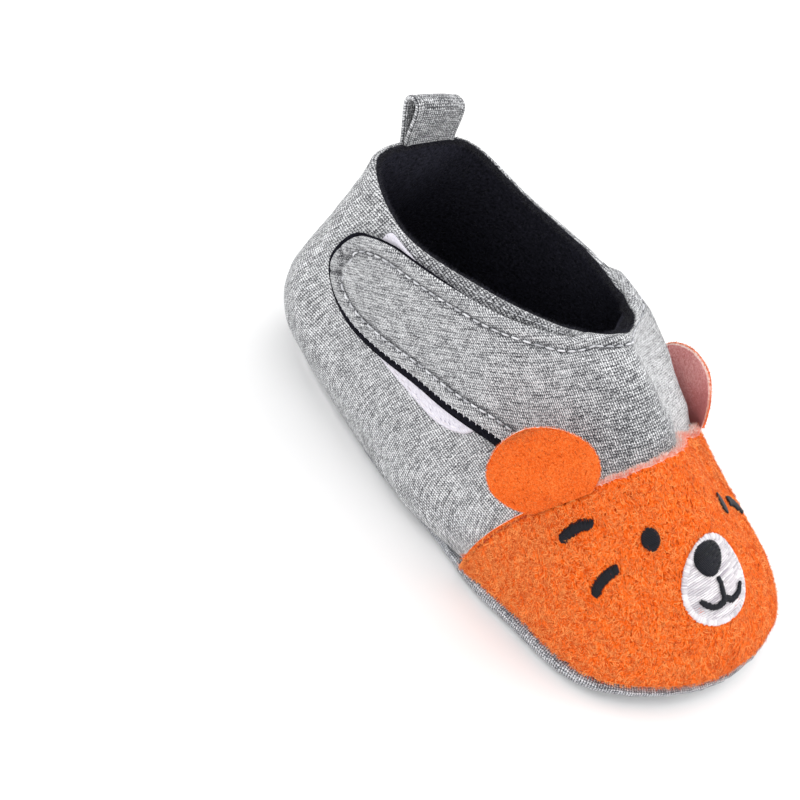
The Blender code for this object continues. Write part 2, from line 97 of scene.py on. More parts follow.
CAP_BACK = 69.2
CAP_FORWARD = 18.4
CAP_FORWARD_AT = 42.0

StrapRow = namedtuple("StrapRow", "u low top")
STRAP = [StrapRow(*row) for row in (
    (1.48, 0.700, 0.725), (1.52, 0.670, 0.785), (1.62, 0.640, 0.855), (1.76, 0.622, 0.903),
    (1.98, 0.616, 0.947), (2.24, 0.618, 0.965), (2.85, 0.620, 0.953), (3.50, 0.585, 0.943),
    (4.00, 0.552, 0.949), (4.55, 0.550, 0.970), (5.00, 0.550, 1.000), (6.00, 0.550, 1.000),
    (6.50, 0.000, 1.000), (7.60, 0.000, 1.000), (8.90, 0.000, 0.960),
)]
STRAP_OVER_TAPE = (3.45, 4.05)
EDGE_CLEAR = 0.012
SIDE_CLEAR = 0.04
TAPE = [StrapRow(*row) for row in (
    (1.87, 0.912, 0.944), (1.92, 0.842, 0.977), (2.05, 0.690, 0.982), (2.22, 0.592, 0.970),
    (2.40, 0.570, 0.955), (2.64, 0.554, 0.950), (2.86, 0.537, 0.941), (3.10, 0.520, 0.932),
    (3.34, 0.522, 0.917), (3.48, 0.545, 0.891), (3.56, 0.593, 0.861),
)]

EAR_RADIUS = 10.9
EAR_CHORD = 14.0
EAR_CUP = 1.2
EAR_SEAM = 1.4
# sunk: how far the base is drawn into the cap's seam
Ear = namedtuple("Ear", "start end stand twist sunk")
EARS = {
    "ear_right": Ear(4.34, 5.05, 37.0, 0.0, 1.2),
    "ear_left": Ear(7.55, 8.10, 12.0, 16.0, 0.4),
}

LOOP_SPAN = (-0.46, 0.42)
LOOP_HEIGHT = 10.1
LOOP_CLIMB = (0.92, 1.04)
LOOP_TOP_RADIUS = 2.1
LOOP_FOOT = 1.05
LOOP_STRIP = 0.9
LOOP_LEAN = math.radians(9.0)

Patch = namedtuple("Patch", "u v half_wide half_tall turn egg layer")
PATCHES = {
    "muzzle":    Patch(5.97, 0.400, 9.2, 9.0, 5.0, 0.14, 0),
    "nose":      Patch(5.93, 0.460, 3.6, 3.5, 5.0, -0.15, 1),
    "eye_right": Patch(5.50, 0.515, 1.9, 2.3, 0.0, 0.0, 0),
    "eye_left":  Patch(6.60, 0.510, 1.9, 2.3, 0.0, 0.0, 0),
}
# Embroidered strokes: places (u, v) along the middle line, half width and layer
Stroke = namedtuple("Stroke", "places half layer")
STROKES = {
    "cheek_mark_right_1": Stroke(((4.71, 0.428), (4.84, 0.475), (4.95, 0.504), (5.02, 0.512)), 1.1, 0),
    "cheek_mark_right_2": Stroke(((4.96, 0.331), (5.02, 0.372), (5.11, 0.406), (5.18, 0.424)), 1.1, 0),
    "cheek_mark_left_1":  Stroke(((7.82, 0.205), (7.71, 0.268), (7.60, 0.309), (7.52, 0.326)), 1.1, 0),
    "cheek_mark_left_2":  Stroke(((7.07, 0.372), (6.99, 0.421), (6.91, 0.452), (6.84, 0.464)), 1.1, 0),
    "philtrum":           Stroke(((5.96, 0.408), (5.97, 0.387), (5.97, 0.358), (5.98, 0.340)), 0.55, 1),
    "mouth":              Stroke(((5.77, 0.355), (5.82, 0.338), (5.88, 0.330), (5.95, 0.335), (5.98, 0.345),
                                  (6.04, 0.334), (6.13, 0.342), (6.18, 0.365)), 0.6, 1),
}


# The last

def catmull(t, a, b, c, d):
    """A Catmull-Rom curve from b to c."""
    return b + 0.5 * t * ((c - a) + t * (2 * a - 5 * b + 4 * c - d) + t * t * (3 * (b - c) + d - a))


def ring_row(u):
    """The LAST columns at ring positions u, on a closed Catmull-Rom curve, in millimetres."""
    u = np.asarray(u, float)
    first = np.floor(u).astype(int)
    row = catmull((u - first)[..., None], *(ROWS[(first + k) % RING] for k in (-1, 0, 1, 2)))
    half = BALL_WIDTH / 2
    scale = [LENGTH, half] + [HEEL_HEIGHT] * 3 + [LENGTH, half] + [HEEL_HEIGHT] * 3
    return Rib(*np.moveaxis(row * np.array(scale), -1, 0))


def seam(u):
    """Points of the sole seam."""
    row = ring_row(u)
    return np.stack([row.along, row.across, row.seam], -1)


def unit(vectors):
    return vectors / np.linalg.norm(vectors, axis=-1, keepdims=True)


def outwards(u):
    """Level unit vectors that point out of the sole seam."""
    step = seam(np.asarray(u) + 0.05) - seam(np.asarray(u) - 0.05)
    return unit(np.stack([step[..., 1], -step[..., 0], np.zeros_like(step[..., 0])], -1))


def last(u, v):
    """Points of the upper's outside."""
    u, v = np.broadcast_arrays(np.asarray(u, float), np.asarray(v, float))
    row = ring_row(u)
    out = outwards(u)
    up = np.array([0.0, 0.0, 1.0])
    foot = np.stack([row.along, row.across, row.seam], -1)
    rim = np.stack([row.rim_along, row.rim_across, row.rim], -1)
    low = foot + out * row.bulge[..., None] + up * row.wall[..., None]
    high = rim + out * row.lean[..., None] - up * row.drop[..., None]
    v = v[..., None]
    w = 1 - v
    return w**3 * foot + 3 * w * w * v * low + 3 * w * v * v * high + v**3 * rim


def tangents(u, v):
    """Derivatives of the upper's outside along u and v."""
    du, dv = 0.02, 0.01
    along = (last(u + du, v) - last(u - du, v)) / (2 * du)
    rise = (last(u, v + dv) - last(u, v - dv)) / (2 * dv)
    return along, rise


def normals(u, v):
    """Unit normals of the upper's outside."""
    return unit(np.cross(*tangents(u, v)))


def steepness(u, v):
    """Millimetres of the surface for each unit of height v."""
    return np.linalg.norm(tangents(u, np.broadcast_to(v, np.shape(u)))[1], axis=-1)


def skin(u, v, lift):
    """The upper's outside moved out by lift. Its lower edge stays at the height of the sole seam."""
    u, v, lift = np.broadcast_arrays(*(np.asarray(a, float) for a in (u, v, lift)))
    point = last(u, v) + normals(u, v) * lift[..., None]
    point[..., 2] = np.where(v <= 0, seam(u)[..., 2], point[..., 2])
    return point


def blend(x, start, end):
    """0 before start, 1 after end, smooth between."""
    t = np.clip((np.asarray(x, float) - start) / (end - start), 0, 1)
    return t * t * (3 - 2 * t)


def within(x, start, full, fade, end):
    """1 from full to fade, 0 before start and after end, smooth between."""
    return blend(x, start, full) * (1 - blend(x, fade, end))


def mix(a, b, share):
    return a + (b - a) * share


def towards(angle, x, y):
    """Directions at angles from x to y."""
    return np.cos(angle)[..., None] * x + np.sin(angle)[..., None] * y


def hump(x, middle, width):
    """A smooth bump of height 1."""
    return np.exp(-0.5 * ((x - middle) / width) ** 2)


def bisect(f, low, high, steps=40):
    """Where f changes sign between low and high, element by element."""
    low, high = np.array(low, float), np.array(high, float)
    sign = np.sign(f(low))
    for _ in range(steps):
        middle = (low + high) / 2
        same = np.sign(f(middle)) == sign
        low, high = np.where(same, middle, low), np.where(same, high, middle)
    return (low + high) / 2


def before_cap_edge(point):
    """How far a point lies in front of the sheet that cuts the cap's back edge."""
    return point[..., 0] - CAP_BACK - CAP_FORWARD * (point[..., 2] / CAP_FORWARD_AT) ** 2


def cap_edge(u, inside=0.0):
    """Height v of the cap's back edge, or of a line inside it. It is 0 where the line is under the seam."""
    u = np.asarray(u, float)
    found = bisect(lambda v: before_cap_edge(last(u, v)) - inside, np.zeros_like(u), np.ones_like(u))
    return np.where(before_cap_edge(seam(u)) > inside, found, 0.0)


def cap_corner(side_row):
    """Ring position where the cap's back edge meets the sole seam, between side_row and the next row."""
    return float(bisect(lambda u: before_cap_edge(seam(u)), side_row, side_row + 1.0))


CAP_RIGHT = cap_corner(TOE - 3)
CAP_LEFT = cap_corner(TOE + 2)


def part_shift():
    """From the last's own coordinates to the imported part's, both in millimetres."""
    u = np.arange(CAD_COLUMNS) * RING / CAD_COLUMNS
    u, v = np.meshgrid(u, np.linspace(0, 1, CAD_ROWS), indexing="ij")
    return np.array(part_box("upper")[0]) / MM - skin(u, v, 0.0).min((0, 1))


SHIFT = part_shift()


def nearest_place(targets, u, v, steps=8):
    """Ring positions and heights whose surface points lie nearest to the targets, by Newton steps."""
    u = np.array(np.broadcast_to(u, targets.shape[:-1]), float)
    v = np.array(np.broadcast_to(v, targets.shape[:-1]), float)
    for _ in range(steps):
        miss = targets - last(u, v)
        along, rise = tangents(u, v)
        aa, ar, rr = (along * along).sum(-1), (along * rise).sum(-1), (rise * rise).sum(-1)
        ma, mr = (miss * along).sum(-1), (miss * rise).sum(-1)
        bottom = aa * rr - ar * ar
        u = u + (ma * rr - mr * ar) / bottom
        v = v + (mr * aa - ma * ar) / bottom
    return u, v


# Cloth coordinates in millimetres, read from a table of the surface

CHART_U = np.linspace(-RING, 2 * RING, 36 * RING + 1)
CHART_V = np.linspace(0, 1, 61)
PANEL_UP = unit(np.array([-0.5, 0.0, 0.87]))


def make_chart(anchor, up=None):
    """Arc lengths along the ring from the anchor and up the ribs, or across and along a direction."""
    u, v = np.meshgrid(CHART_U, CHART_V, indexing="ij")
    points = last(u, v)
    if up is None:
        rise = np.linalg.norm(np.diff(points, axis=1), axis=-1)
        rise = np.concatenate([np.zeros((len(CHART_U), 1)), np.cumsum(rise, 1)], 1)
    else:
        rise = points @ up
        points = points - rise[..., None] * up
    along = np.linalg.norm(np.diff(points, axis=0), axis=-1)
    along = np.concatenate([np.zeros((1, len(CHART_V))), np.cumsum(along, 0)])
    along -= along[np.searchsorted(CHART_U, anchor - 1e-9)]
    return np.stack([along, rise], -1)


CHARTS = {"quarter": make_chart(0), "cap": make_chart(TOE), "panel": make_chart(TOE, PANEL_UP)}


def cloth(u, v, chart, turn=0.0, above=0.0):
    """Cloth coordinates at places of the surface, moved up by above and turned by some degrees."""
    u, v, above = np.broadcast_arrays(*(np.asarray(a, float) for a in (u, v, above)))
    table = CHARTS[chart]
    x = (u - CHART_U[0]) / (CHART_U[1] - CHART_U[0])
    y = np.clip(v, 0, 1) / (CHART_V[1] - CHART_V[0])
    i = np.clip(x.astype(int), 0, len(CHART_U) - 2)
    j = np.clip(y.astype(int), 0, len(CHART_V) - 2)
    fx, fy = (x - i)[..., None], (y - j)[..., None]
    low = mix(table[i, j], table[i + 1, j], fx)
    high = mix(table[i, j + 1], table[i + 1, j + 1], fx)
    flat = mix(low, high, fy)
    c, s = math.cos(math.radians(turn)), math.sin(math.radians(turn))
    x, y = flat[..., 0], flat[..., 1] + above
    return np.stack([x * c - y * s, x * s + y * c], -1)


RIPPLE_WAVES = 14
RIPPLE_GAIN = 1.2


def ripple(x, y, size, seed):
    """A smooth random field between about -1 and 1, with features of the given size."""
    random = np.random.default_rng(seed)
    total = np.zeros(np.broadcast(x, y).shape)
    for _ in range(RIPPLE_WAVES):
        heading = random.uniform(0, 2 * math.pi)
        pitch = 2 * math.pi / (size * random.uniform(0.7, 1.6))
        phase = random.uniform(0, 2 * math.pi)
        total = total + np.cos(pitch * (np.cos(heading) * x + np.sin(heading) * y) + phase)
    return total / math.sqrt(2 * RIPPLE_WAVES) * RIPPLE_GAIN


def rippled(place, size, seed):
    """The same at places [..., xy]."""
    return ripple(place[..., 0], place[..., 1], size, seed)


# Mesh tools

WELD = 0.0005


def show(name, data):
    """A new object in the scene."""
    made = bpy.data.objects.new(name, data)
    bpy.context.scene.collection.objects.link(made)
    return made


def piece(name, points, faces, finishes, uv=None, face_finish=None, shade=None, weld=False):
    """One named object from points in millimetres of the last, riding on the shoe."""
    mesh = bpy.data.meshes.new(name)
    mesh.from_pydata(((np.asarray(points, float) + SHIFT) * MM).tolist(), [], faces)
    for finish in finishes:
        mesh.materials.append(FINISHES[finish])
    if uv is not None:
        corner = np.empty(len(mesh.loops), np.int32)
        mesh.loops.foreach_get("vertex_index", corner)
        layer = mesh.uv_layers.new(name="cloth")
        layer.data.foreach_set("uv", np.asarray(uv, np.float32)[corner].ravel())
    if face_finish is not None:
        mesh.polygons.foreach_set("material_index", np.asarray(face_finish, np.int32))
    if shade is not None:
        values = np.asarray(shade, np.float32).ravel()
        mesh.attributes.new("shade", "FLOAT", "POINT").data.foreach_set("value", values)
    if weld:
        bm = bmesh.new()
        bm.from_mesh(mesh)
        bmesh.ops.remove_doubles(bm, verts=bm.verts, dist=WELD * MM)
        bm.to_mesh(mesh)
        bm.free()
    mesh.shade_smooth()
    mesh.update()
    made = show(name, mesh)
    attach(made, "root")
    return made


def grid_faces(columns, rows, start=0, flip=False):
    """Quads of a grid of points [column, row]."""
    c, r = np.meshgrid(np.arange(columns - 1), np.arange(rows - 1), indexing="ij")
    corner = start + c * rows + r
    quads = np.stack([corner, corner + rows, corner + rows + 1, corner + 1], -1).reshape(-1, 4)
    if flip:
        quads = quads[:, ::-1]
    return quads.tolist()


def sheet(name, points, finishes, uv, **more):
    """A piece from one grid of points."""
    faces = grid_faces(*points.shape[:2])
    return piece(name, points.reshape(-1, 3), faces, finishes, uv.reshape(-1, 2), **more)


def both_sides(name, outer, inner, finishes, uv, face_finish=None, shade=None):
    """A closed sheet from two grids that share their border. Finishes are given as two grids of faces."""
    columns, rows = outer.shape[:2]
    points = np.concatenate([outer.reshape(-1, 3), inner.reshape(-1, 3)])
    faces = grid_faces(columns, rows) + grid_faces(columns, rows, columns * rows, flip=True)
    if face_finish is not None:
        shape = (columns - 1, rows - 1)
        face_finish = np.concatenate([np.broadcast_to(side, shape).ravel() for side in face_finish])
    if shade is not None:
        shade = np.concatenate([np.broadcast_to(side, (columns, rows)).ravel() for side in shade])
    flat = uv.reshape(-1, 2)
    return piece(name, points, faces, finishes, np.concatenate([flat, flat]), face_finish, shade, weld=True)


def edge_distance(points, outline):
    """Distance from each point to the nearest point of an outline."""
    flat = points.reshape(-1, 3)
    nearest = np.full(len(flat), np.inf)
    for start in range(0, len(outline), 100):
        gap = np.linalg.norm(flat[:, None] - outline[None, start:start + 100], axis=-1).min(1)
        nearest = np.minimum(nearest, gap)
    return nearest.reshape(points.shape[:-1])


def round_edge(distance, thick):
    """Half thickness of a sheet at a distance from its rounded edge."""
    half = thick / 2
    inside = np.clip(distance / half, 0, 1)
    return half * np.sqrt(np.clip(1 - (1 - inside) ** 2, 0, 1))


def smooth_rows(values, count):
    """Catmull-Rom samples through the rows of a table, count for each step."""
    values = np.asarray(values, float)
    padded = np.concatenate([[2 * values[0] - values[1]], values, [2 * values[-1] - values[-2]]])
    t = np.linspace(0, 1, count, endpoint=False)[:, None]
    parts = [catmull(t, *padded[k:k + 4]) for k in range(len(values) - 1)]
    return np.concatenate(parts + [values[-1:]])


def spread(count):
    """Shares from 0 to 1, closer together at both ends."""
    even = np.linspace(0, 1, count)
    return 0.45 * even + 0.55 * (0.5 - 0.5 * np.cos(math.pi * even))


def graded(*stretches):
    """Shares from 0 to 1 in stretches of even steps, each given by its start and its count of steps."""
    ends = [start for start, _ in stretches[1:]] + [1]
    parts = [np.linspace(start, end, count, endpoint=False) for (start, count), end in zip(stretches, ends)]
    return np.concatenate(parts + [[1.0]])


def run_of(path):
    """Length along a path, from 0 at its first point."""
    return np.concatenate([[0], np.cumsum(np.linalg.norm(np.diff(path, axis=0), axis=-1))])


def along_path(at, run, columns):
    """Columns of a path read at lengths along it."""
    return np.stack([np.interp(at, run, columns[:, k]) for k in range(columns.shape[1])], -1)


def resample(path, step):
    """Points at even steps along a path."""
    run = run_of(path)
    return along_path(np.linspace(0, run[-1], max(2, int(round(run[-1] / step)) + 1)), run, path)


STITCH_SIDES = 6
THREAD_SIDES = 5


def tubes(paths, ups, radius, sides):
    """Points and faces of tubes along paths [tube, point, xyz], with radii [tube, point] and up vectors."""
    paths = np.asarray(paths, float)
    count, steps = paths.shape[:2]
    along = unit(np.gradient(paths, axis=1) + 1e-9)
    side = unit(np.cross(along, np.broadcast_to(ups, paths.shape)))
    top = np.cross(side, along)
    angle = np.arange(sides) * 2 * math.pi / sides
    ring = towards(angle, side[:, :, None], top[:, :, None])
    points = paths[:, :, None] + ring * np.broadcast_to(radius, paths.shape[:2])[:, :, None, None]
    k, i, j = np.meshgrid(np.arange(count), np.arange(steps - 1), np.arange(sides), indexing="ij")
    a = (k * steps + i) * sides + j
    b = (k * steps + i) * sides + (j + 1) % sides
    quads = np.stack([a, a + sides, b + sides, b], -1).reshape(-1, 4).tolist()
    ends = []
    for tube in range(count):
        first = tube * steps * sides
        ends.append(list(range(first, first + sides)))
        ends.append(list(range(first + steps * sides - 1, first + (steps - 1) * sides - 1, -1)))
    return points.reshape(-1, 3), quads + ends


HAIR_POINTS = 7
# Widths of the hairs
FLEECE_HAIR = 0.09
CAP_HAIR = 0.14
FRINGE_HAIR = 0.13
EAR_HAIR = 0.09


def hair(roots, headings, sides, lengths, width, curl):
    """Points and faces of flat tapered hairs of three steps, each turned by curl towards its side."""
    headings = unit(headings)
    sides = unit(sides - (sides * headings).sum(-1, keepdims=True) * headings)
    curl = curl[:, None]
    step = (lengths / 3)[:, None]
    at, rows = roots, []
    for k in range(3):
        heading = np.cos(k * curl) * headings + np.sin(k * curl) * sides
        wide = (np.cos(k * curl) * sides - np.sin(k * curl) * headings) * (width / 2 * (1 - 0.2 * k))
        rows += [at - wide, at + wide]
        at = at + heading * step
    points = np.stack(rows + [at], 1)
    first = np.arange(len(roots))[:, None] * HAIR_POINTS
    quads = first[:, None] + np.array([[0, 1, 3, 2], [2, 3, 5, 4]])
    tips = first + np.array([4, 5, 6])
    return points.reshape(-1, 3), quads.reshape(-1, 4).tolist() + tips.tolist()


def nap(name, finish, hairs, shade):
    """A piece of many hairs, each with its own tone."""
    return piece(name, *hairs, [finish], shade=np.repeat(shade, HAIR_POINTS))


# Materials

class Finish:
    """A Principled material and short ways to add nodes to it."""

    def __init__(self, name, roughness, sheen=0.0, tint=(1, 1, 1), sheen_rough=0.5, specular=0.3):
        self.made = bpy.data.materials.new(name)
        self.made.use_nodes = True
        self.tree = self.made.node_tree
        self.shader = self.tree.nodes["Principled BSDF"]
        self.put(self.shader, "Roughness", roughness)
        self.put(self.shader, "Specular IOR Level", specular)
        self.put(self.shader, "Sheen Weight", sheen)
        self.put(self.shader, "Sheen Roughness", sheen_rough)
        self.put(self.shader, "Sheen Tint", (*tint, 1.0))

    def put(self, node, socket, value):
        target = node.inputs[socket]
        if isinstance(value, bpy.types.NodeSocket):
            self.tree.links.new(value, target)
        else:
            target.default_value = value

    def node(self, kind, out=0, settings=None, **values):
        """A node's output. Inputs are named, or numbered as i0, i1 and so on."""
        made = self.tree.nodes.new("ShaderNode" + kind)
        for key, value in (settings or {}).items():
            setattr(made, key, value)
        for key, value in values.items():
            socket = int(key[1:]) if key[0] == "i" and key[1:].isdigit() else key.replace("_", " ")
            self.put(made, socket, value)
        return made.outputs[out]

    def sum(self, operation, a, b=0.0, c=0.0):
        return self.node("Math", settings={"operation": operation}, i0=a, i1=b, i2=c)

    def coordinates(self):
        return self.node("UVMap", settings={"uv_map": "cloth"})

    def shade(self):
        """The tone kept with each point, 0 where a piece has none."""
        return self.node("Attribute", out=2, settings={"attribute_name": "shade"})

    def scaled(self, vector, x, y):
        return self.node("Mapping", Vector=vector, Scale=(x, y, 1.0))

    def noise(self, vector, scale, detail=2.0, rough=0.5, twist=0.0):
        values = {"Scale": scale, "Detail": detail, "Roughness": rough, "Distortion": twist}
        return self.node("TexNoise", Vector=vector, **values)

    def ramp(self, factor, stops):
        made = self.tree.nodes.new("ShaderNodeValToRGB")
        elements = made.color_ramp.elements
        while len(elements) < len(stops):
            elements.new(0.5)
        for element, (position, colour) in zip(elements, stops):
            element.position = position
            element.color = (*colour, 1.0)
        self.put(made, "Fac", factor)
        return made.outputs[0]

    def mixed(self, share, a, b):
        return self.node("Mix", out=2, settings={"data_type": "RGBA"}, i0=share, i6=a, i7=b)

    def colour(self, socket):
        self.put(self.shader, "Base Color", socket)

    def bump(self, height, distance, strength=1.0):
        normal = self.node("Bump", Height=height, Distance=distance * MM, Strength=strength)
        self.put(self.shader, "Normal", normal)


def linear(red, green, blue):
    """Linear colour from 8-bit sRGB."""
    share = np.array([red, green, blue]) / 255
    return tuple(np.where(share <= 0.04045, share / 12.92, ((share + 0.055) / 1.055) ** 2.4))


WALE = 0.56
COURSE = 0.50


def jersey(name, dark, middle, light, wale=WALE, course=COURSE):
    """Heather jersey: columns of knit loops, single darker and lighter loops, and short streaks across."""
    f = Finish(name, roughness=0.92, sheen=0.2, sheen_rough=0.6, specular=0.2)
    place = f.coordinates()
    axes = f.tree.nodes.new("ShaderNodeSeparateXYZ")
    f.put(axes, 0, place)
    x = f.sum("DIVIDE", axes.outputs[0], wale)
    uneven = f.noise(place, 1.3, 1.0)
    y = f.sum("MULTIPLY_ADD", uneven, 1.3, f.sum("DIVIDE", axes.outputs[1], course))
    off = f.sum("ABSOLUTE", f.sum("SUBTRACT", f.sum("FRACT", x), 0.5))
    slant = f.sum("ADD", y, f.sum("MULTIPLY", off, 1.1))
    loop = f.sum("MULTIPLY_ADD", f.sum("SINE", f.sum("MULTIPLY", slant, 2 * math.pi)), 0.5, 0.5)
    groove = f.sum("POWER", f.sum("MULTIPLY", off, 2.0), 3.0)
    height = f.sum("SUBTRACT", f.sum("MULTIPLY", loop, 0.7), groove)
    cell = f.node("CombineXYZ", X=f.sum("FLOOR", x), Y=f.sum("FLOOR", slant))
    single = f.node("TexWhiteNoise", settings={"noise_dimensions": "3D"}, Vector=cell)
    streak = f.noise(f.scaled(place, 0.22, 1.5), 1.0, 2.0, 0.6)
    cloud = f.noise(f.scaled(place, 0.09, 0.20), 1.0, 2.0)
    fuzz = f.noise(f.scaled(place, 3.6, 2.4), 1.0, 2.0)
    tone = streak
    for part, share in ((single, 0.30), (cloud, 0.20), (fuzz, 1.30), (height, 0.75)):
        tone = f.sum("MULTIPLY_ADD", part, share, tone)
    tone = f.sum("ADD", f.sum("SUBTRACT", tone, 1.05), f.shade())
    f.colour(f.ramp(tone, ((0.10, dark), (0.50, middle), (0.90, light))))
    f.bump(height, 0.16, 0.8)
    return f.made


def suede(name, pit, base, tip, grain, pits):
    """Napped microfibre: matted clumps, small dark pits between them, and a soft sheen."""
    f = Finish(name, roughness=1.0, sheen=0.2, tint=tip, sheen_rough=0.45, specular=0.05)
    place = f.coordinates()
    clump = f.noise(f.scaled(place, 1.0, 0.7), grain, 4.0, 0.62, 0.9)
    broad = f.noise(place, 0.16, 2.0)
    hollow = f.noise(f.scaled(place, 2.4, 0.9), 1.0, 2.0, 0.55, 0.8)
    tone = f.sum("MULTIPLY_ADD", broad, 0.16, f.sum("SUBTRACT", clump, 0.08))
    tone = f.sum("ADD", tone, f.shade())
    deep = tuple(mix(np.array(pit), np.array(base), 0.45))
    face = f.ramp(tone, ((0.32, deep), (0.47, base), (0.66, tip)))
    open_pit = f.node("MapRange", Value=hollow, From_Min=pits, From_Max=pits - 0.10)
    f.colour(f.mixed(open_pit, face, (*pit, 1.0)))
    f.bump(f.sum("MULTIPLY_ADD", open_pit, -0.5, clump), 0.45, 0.7)
    return f.made


def fibre(name, dark, light, sheen=0.2):
    """Hairs whose tone is kept with each one."""
    f = Finish(name, roughness=0.9, sheen=sheen, specular=0.15)
    f.colour(f.ramp(f.shade(), ((0.0, dark), (1.0, light))))
    return f.made


def fleece(name):
    """Black brushed fleece."""
    f = Finish(name, roughness=1.0, sheen=0.25, tint=linear(70, 72, 92), sheen_rough=0.4, specular=0.1)
    clump = f.noise(f.coordinates(), 1.3, 4.0, 0.65, 0.6)
    f.colour(f.ramp(clump, ((0.35, linear(19, 19, 24)), (0.7, linear(54, 54, 66)))))
    f.bump(clump, 0.5, 0.6)
    return f.made


def tape_weave(name):
    """White loop tape: matted loops and the odd dark speck."""
    f = Finish(name, roughness=0.9, sheen=0.3, specular=0.2)
    place = f.coordinates()
    loops = f.noise(place, 2.6, 3.0, 0.6, 0.5)
    specks = f.node("TexVoronoi", Vector=place, Scale=0.95, Randomness=1.0)
    keep = f.noise(place, 1.3, 1.0)
    dot = f.sum("MULTIPLY", f.sum("LESS_THAN", specks, 0.20), f.sum("GREATER_THAN", keep, 0.47))
    pale = f.ramp(loops, ((0.3, linear(196, 192, 205)), (0.65, linear(236, 233, 241))))
    f.colour(f.mixed(dot, pale, (*linear(150, 148, 165), 1.0)))
    f.bump(loops, 0.3, 0.6)
    return f.made


def thread(name, dark, light, gloss, sheen=0.15):
    """Embroidery thread: fine twist and a silky shine."""
    f = Finish(name, roughness=gloss, sheen=sheen, specular=0.3)
    twist = f.noise(f.node("TexCoord", out=3), 5200.0, 2.0)
    tone = f.sum("MULTIPLY_ADD", f.sum("SUBTRACT", twist, 0.5), 0.7, f.shade())
    f.colour(f.ramp(tone, ((0.0, dark), (1.0, light))))
    f.bump(twist, 0.05, 0.5)
    return f.made


def plain_floor(name):
    f = Finish(name, roughness=0.9, specular=0.2)
    cloud = f.noise(f.node("TexCoord", out=3), 3.0, 2.0)
    f.colour(f.ramp(cloud, ((0.3, linear(246, 246, 246)), (0.7, linear(250, 250, 250)))))
    return f.made


HEATHER = (linear(52, 53, 58), linear(168, 169, 172), linear(242, 243, 245))
# Each finish: what makes it, its name, and the maker's other values
FINISHES = {name: make(name, *values) for make, name, *values in (
    (jersey, "grey_jersey", *HEATHER),
    (jersey, "quarter_jersey", *HEATHER, 0.64, 0.58),
    (jersey, "sole_jersey", linear(70, 72, 78), linear(160, 162, 168), linear(232, 234, 238), 0.5, 0.5),
    (suede, "orange_suede", linear(168, 47, 4), linear(242, 97, 24), linear(255, 140, 66), 2.6, 0.43),
    (suede, "ear_suede", linear(200, 64, 10), linear(242, 102, 32), linear(255, 138, 68), 3.4, 0.40),
    (suede, "suede_back", linear(190, 96, 96), linear(222, 146, 144), linear(240, 182, 178), 2.6, 0.34),
    (suede, "raw_edge", linear(214, 130, 112), linear(250, 214, 204), linear(255, 242, 238), 2.6, 0.38),
    (fleece, "black_fleece"),
    (tape_weave, "white_tape"),
    (suede, "navy_edge", linear(6, 6, 10), linear(16, 16, 22), linear(34, 34, 44), 2.2, 0.40),
    (thread, "white_thread", linear(176, 168, 178), linear(252, 248, 250), 0.42),
    (thread, "navy_thread", linear(3, 4, 9), linear(20, 22, 34), 0.5, 0.0),
    (thread, "grey_thread", linear(150, 151, 157), linear(236, 237, 241), 0.55),
    (thread, "rust_thread", linear(110, 30, 6), linear(180, 60, 14), 0.6, 0.0),
    (fibre, "orange_nap", linear(198, 60, 6), linear(255, 164, 90), 0.0),
    (fibre, "pale_nap", linear(242, 120, 66), linear(255, 244, 240)),
    (fibre, "black_nap", linear(8, 8, 12), linear(48, 48, 62)),
    (plain_floor, "pale_floor"),
)}


# Soft forms of the cloth: hollows and swells, each along a line from one place to another
Crease = namedtuple("Crease", "u v end_u end_v depth width")
CREASES = [Crease(*row) for row in (
    (1.10, 0.62, 1.75, 0.36, -0.7, 3.2), (1.60, 0.28, 2.30, 0.20, 0.5, 3.6),
    (2.50, 0.12, 2.75, 0.36, -0.5, 2.6), (3.00, 0.10, 3.20, 0.34, 0.45, 2.6),
    (3.35, 0.12, 3.48, 0.40, -0.4, 2.2), (0.60, 0.30, 0.95, 0.72, -0.5, 3.4),
    (9.30, 0.70, 10.2, 0.40, -0.6, 3.4), (9.10, 0.20, 9.60, 0.36, 0.5, 3.0),
    (10.6, 0.66, 11.2, 0.36, -0.5, 3.4),
)]
PANEL_CREASES = [Crease(*row) for row in (
    (4.85, 0.70, 5.60, 0.72, -0.8, 3.4), (5.60, 0.80, 6.20, 0.78, -0.4, 3.0),
    (7.70, 0.60, 8.40, 0.34, -0.6, 3.0), (3.60, 0.62, 4.30, 0.76, -0.4, 3.0),
    (2.60, 0.80, 3.30, 0.70, -0.3, 4.0),
)]


def creased(u, v, creases):
    """Height added to the cloth by its creases."""
    points = last(u, v)
    total = np.zeros(points.shape[:-1])
    share = np.linspace(0, 1, 9)
    fade = np.sin(math.pi * (0.1 + 0.8 * share))
    for crease in creases:
        line = last(mix(crease.u, crease.end_u, share) % RING, mix(crease.v, crease.end_v, share))
        gap = np.linalg.norm(points[..., None, :] - line, axis=-1)
        total += crease.depth * np.max(fade * hump(gap, 0, crease.width), axis=-1)
    return total


# The rim: the quarter's own roll, and in front the panel's larger one over it

QUARTER_ROLL = WALL / 2
PANEL_FACE = GAP + STRAP_THICK
PANEL_ROLL = 1.8
RIM_SUNK = 1.2
FLEECE_IN = 0.06
TURN_UNDER = 1.1
TURN_HEIGHT = 0.045
KNIT_TURN = 100.0
# Stretches of the ring: where a form starts, is full, begins to fade and ends
PANEL_ROLLS = (4.45, 4.95, 8.55, 8.9)
FLEECE_ROLLS = (4.85, 5.25, 8.0, 8.4)
JERSEY_SHORT = (5.2, 6.6, 7.3, 7.95)
# The collar's strip under the strap, which gets painted shade
COLLAR_SHADED = (2.1, 2.5, 4.3, 4.6)
# The collar's two seams: distances from the rim, depth and width
COLLAR_SEAMS = (1.7, 2.5)
COLLAR_SINK = 0.14
COLLAR_GROOVE = 0.16
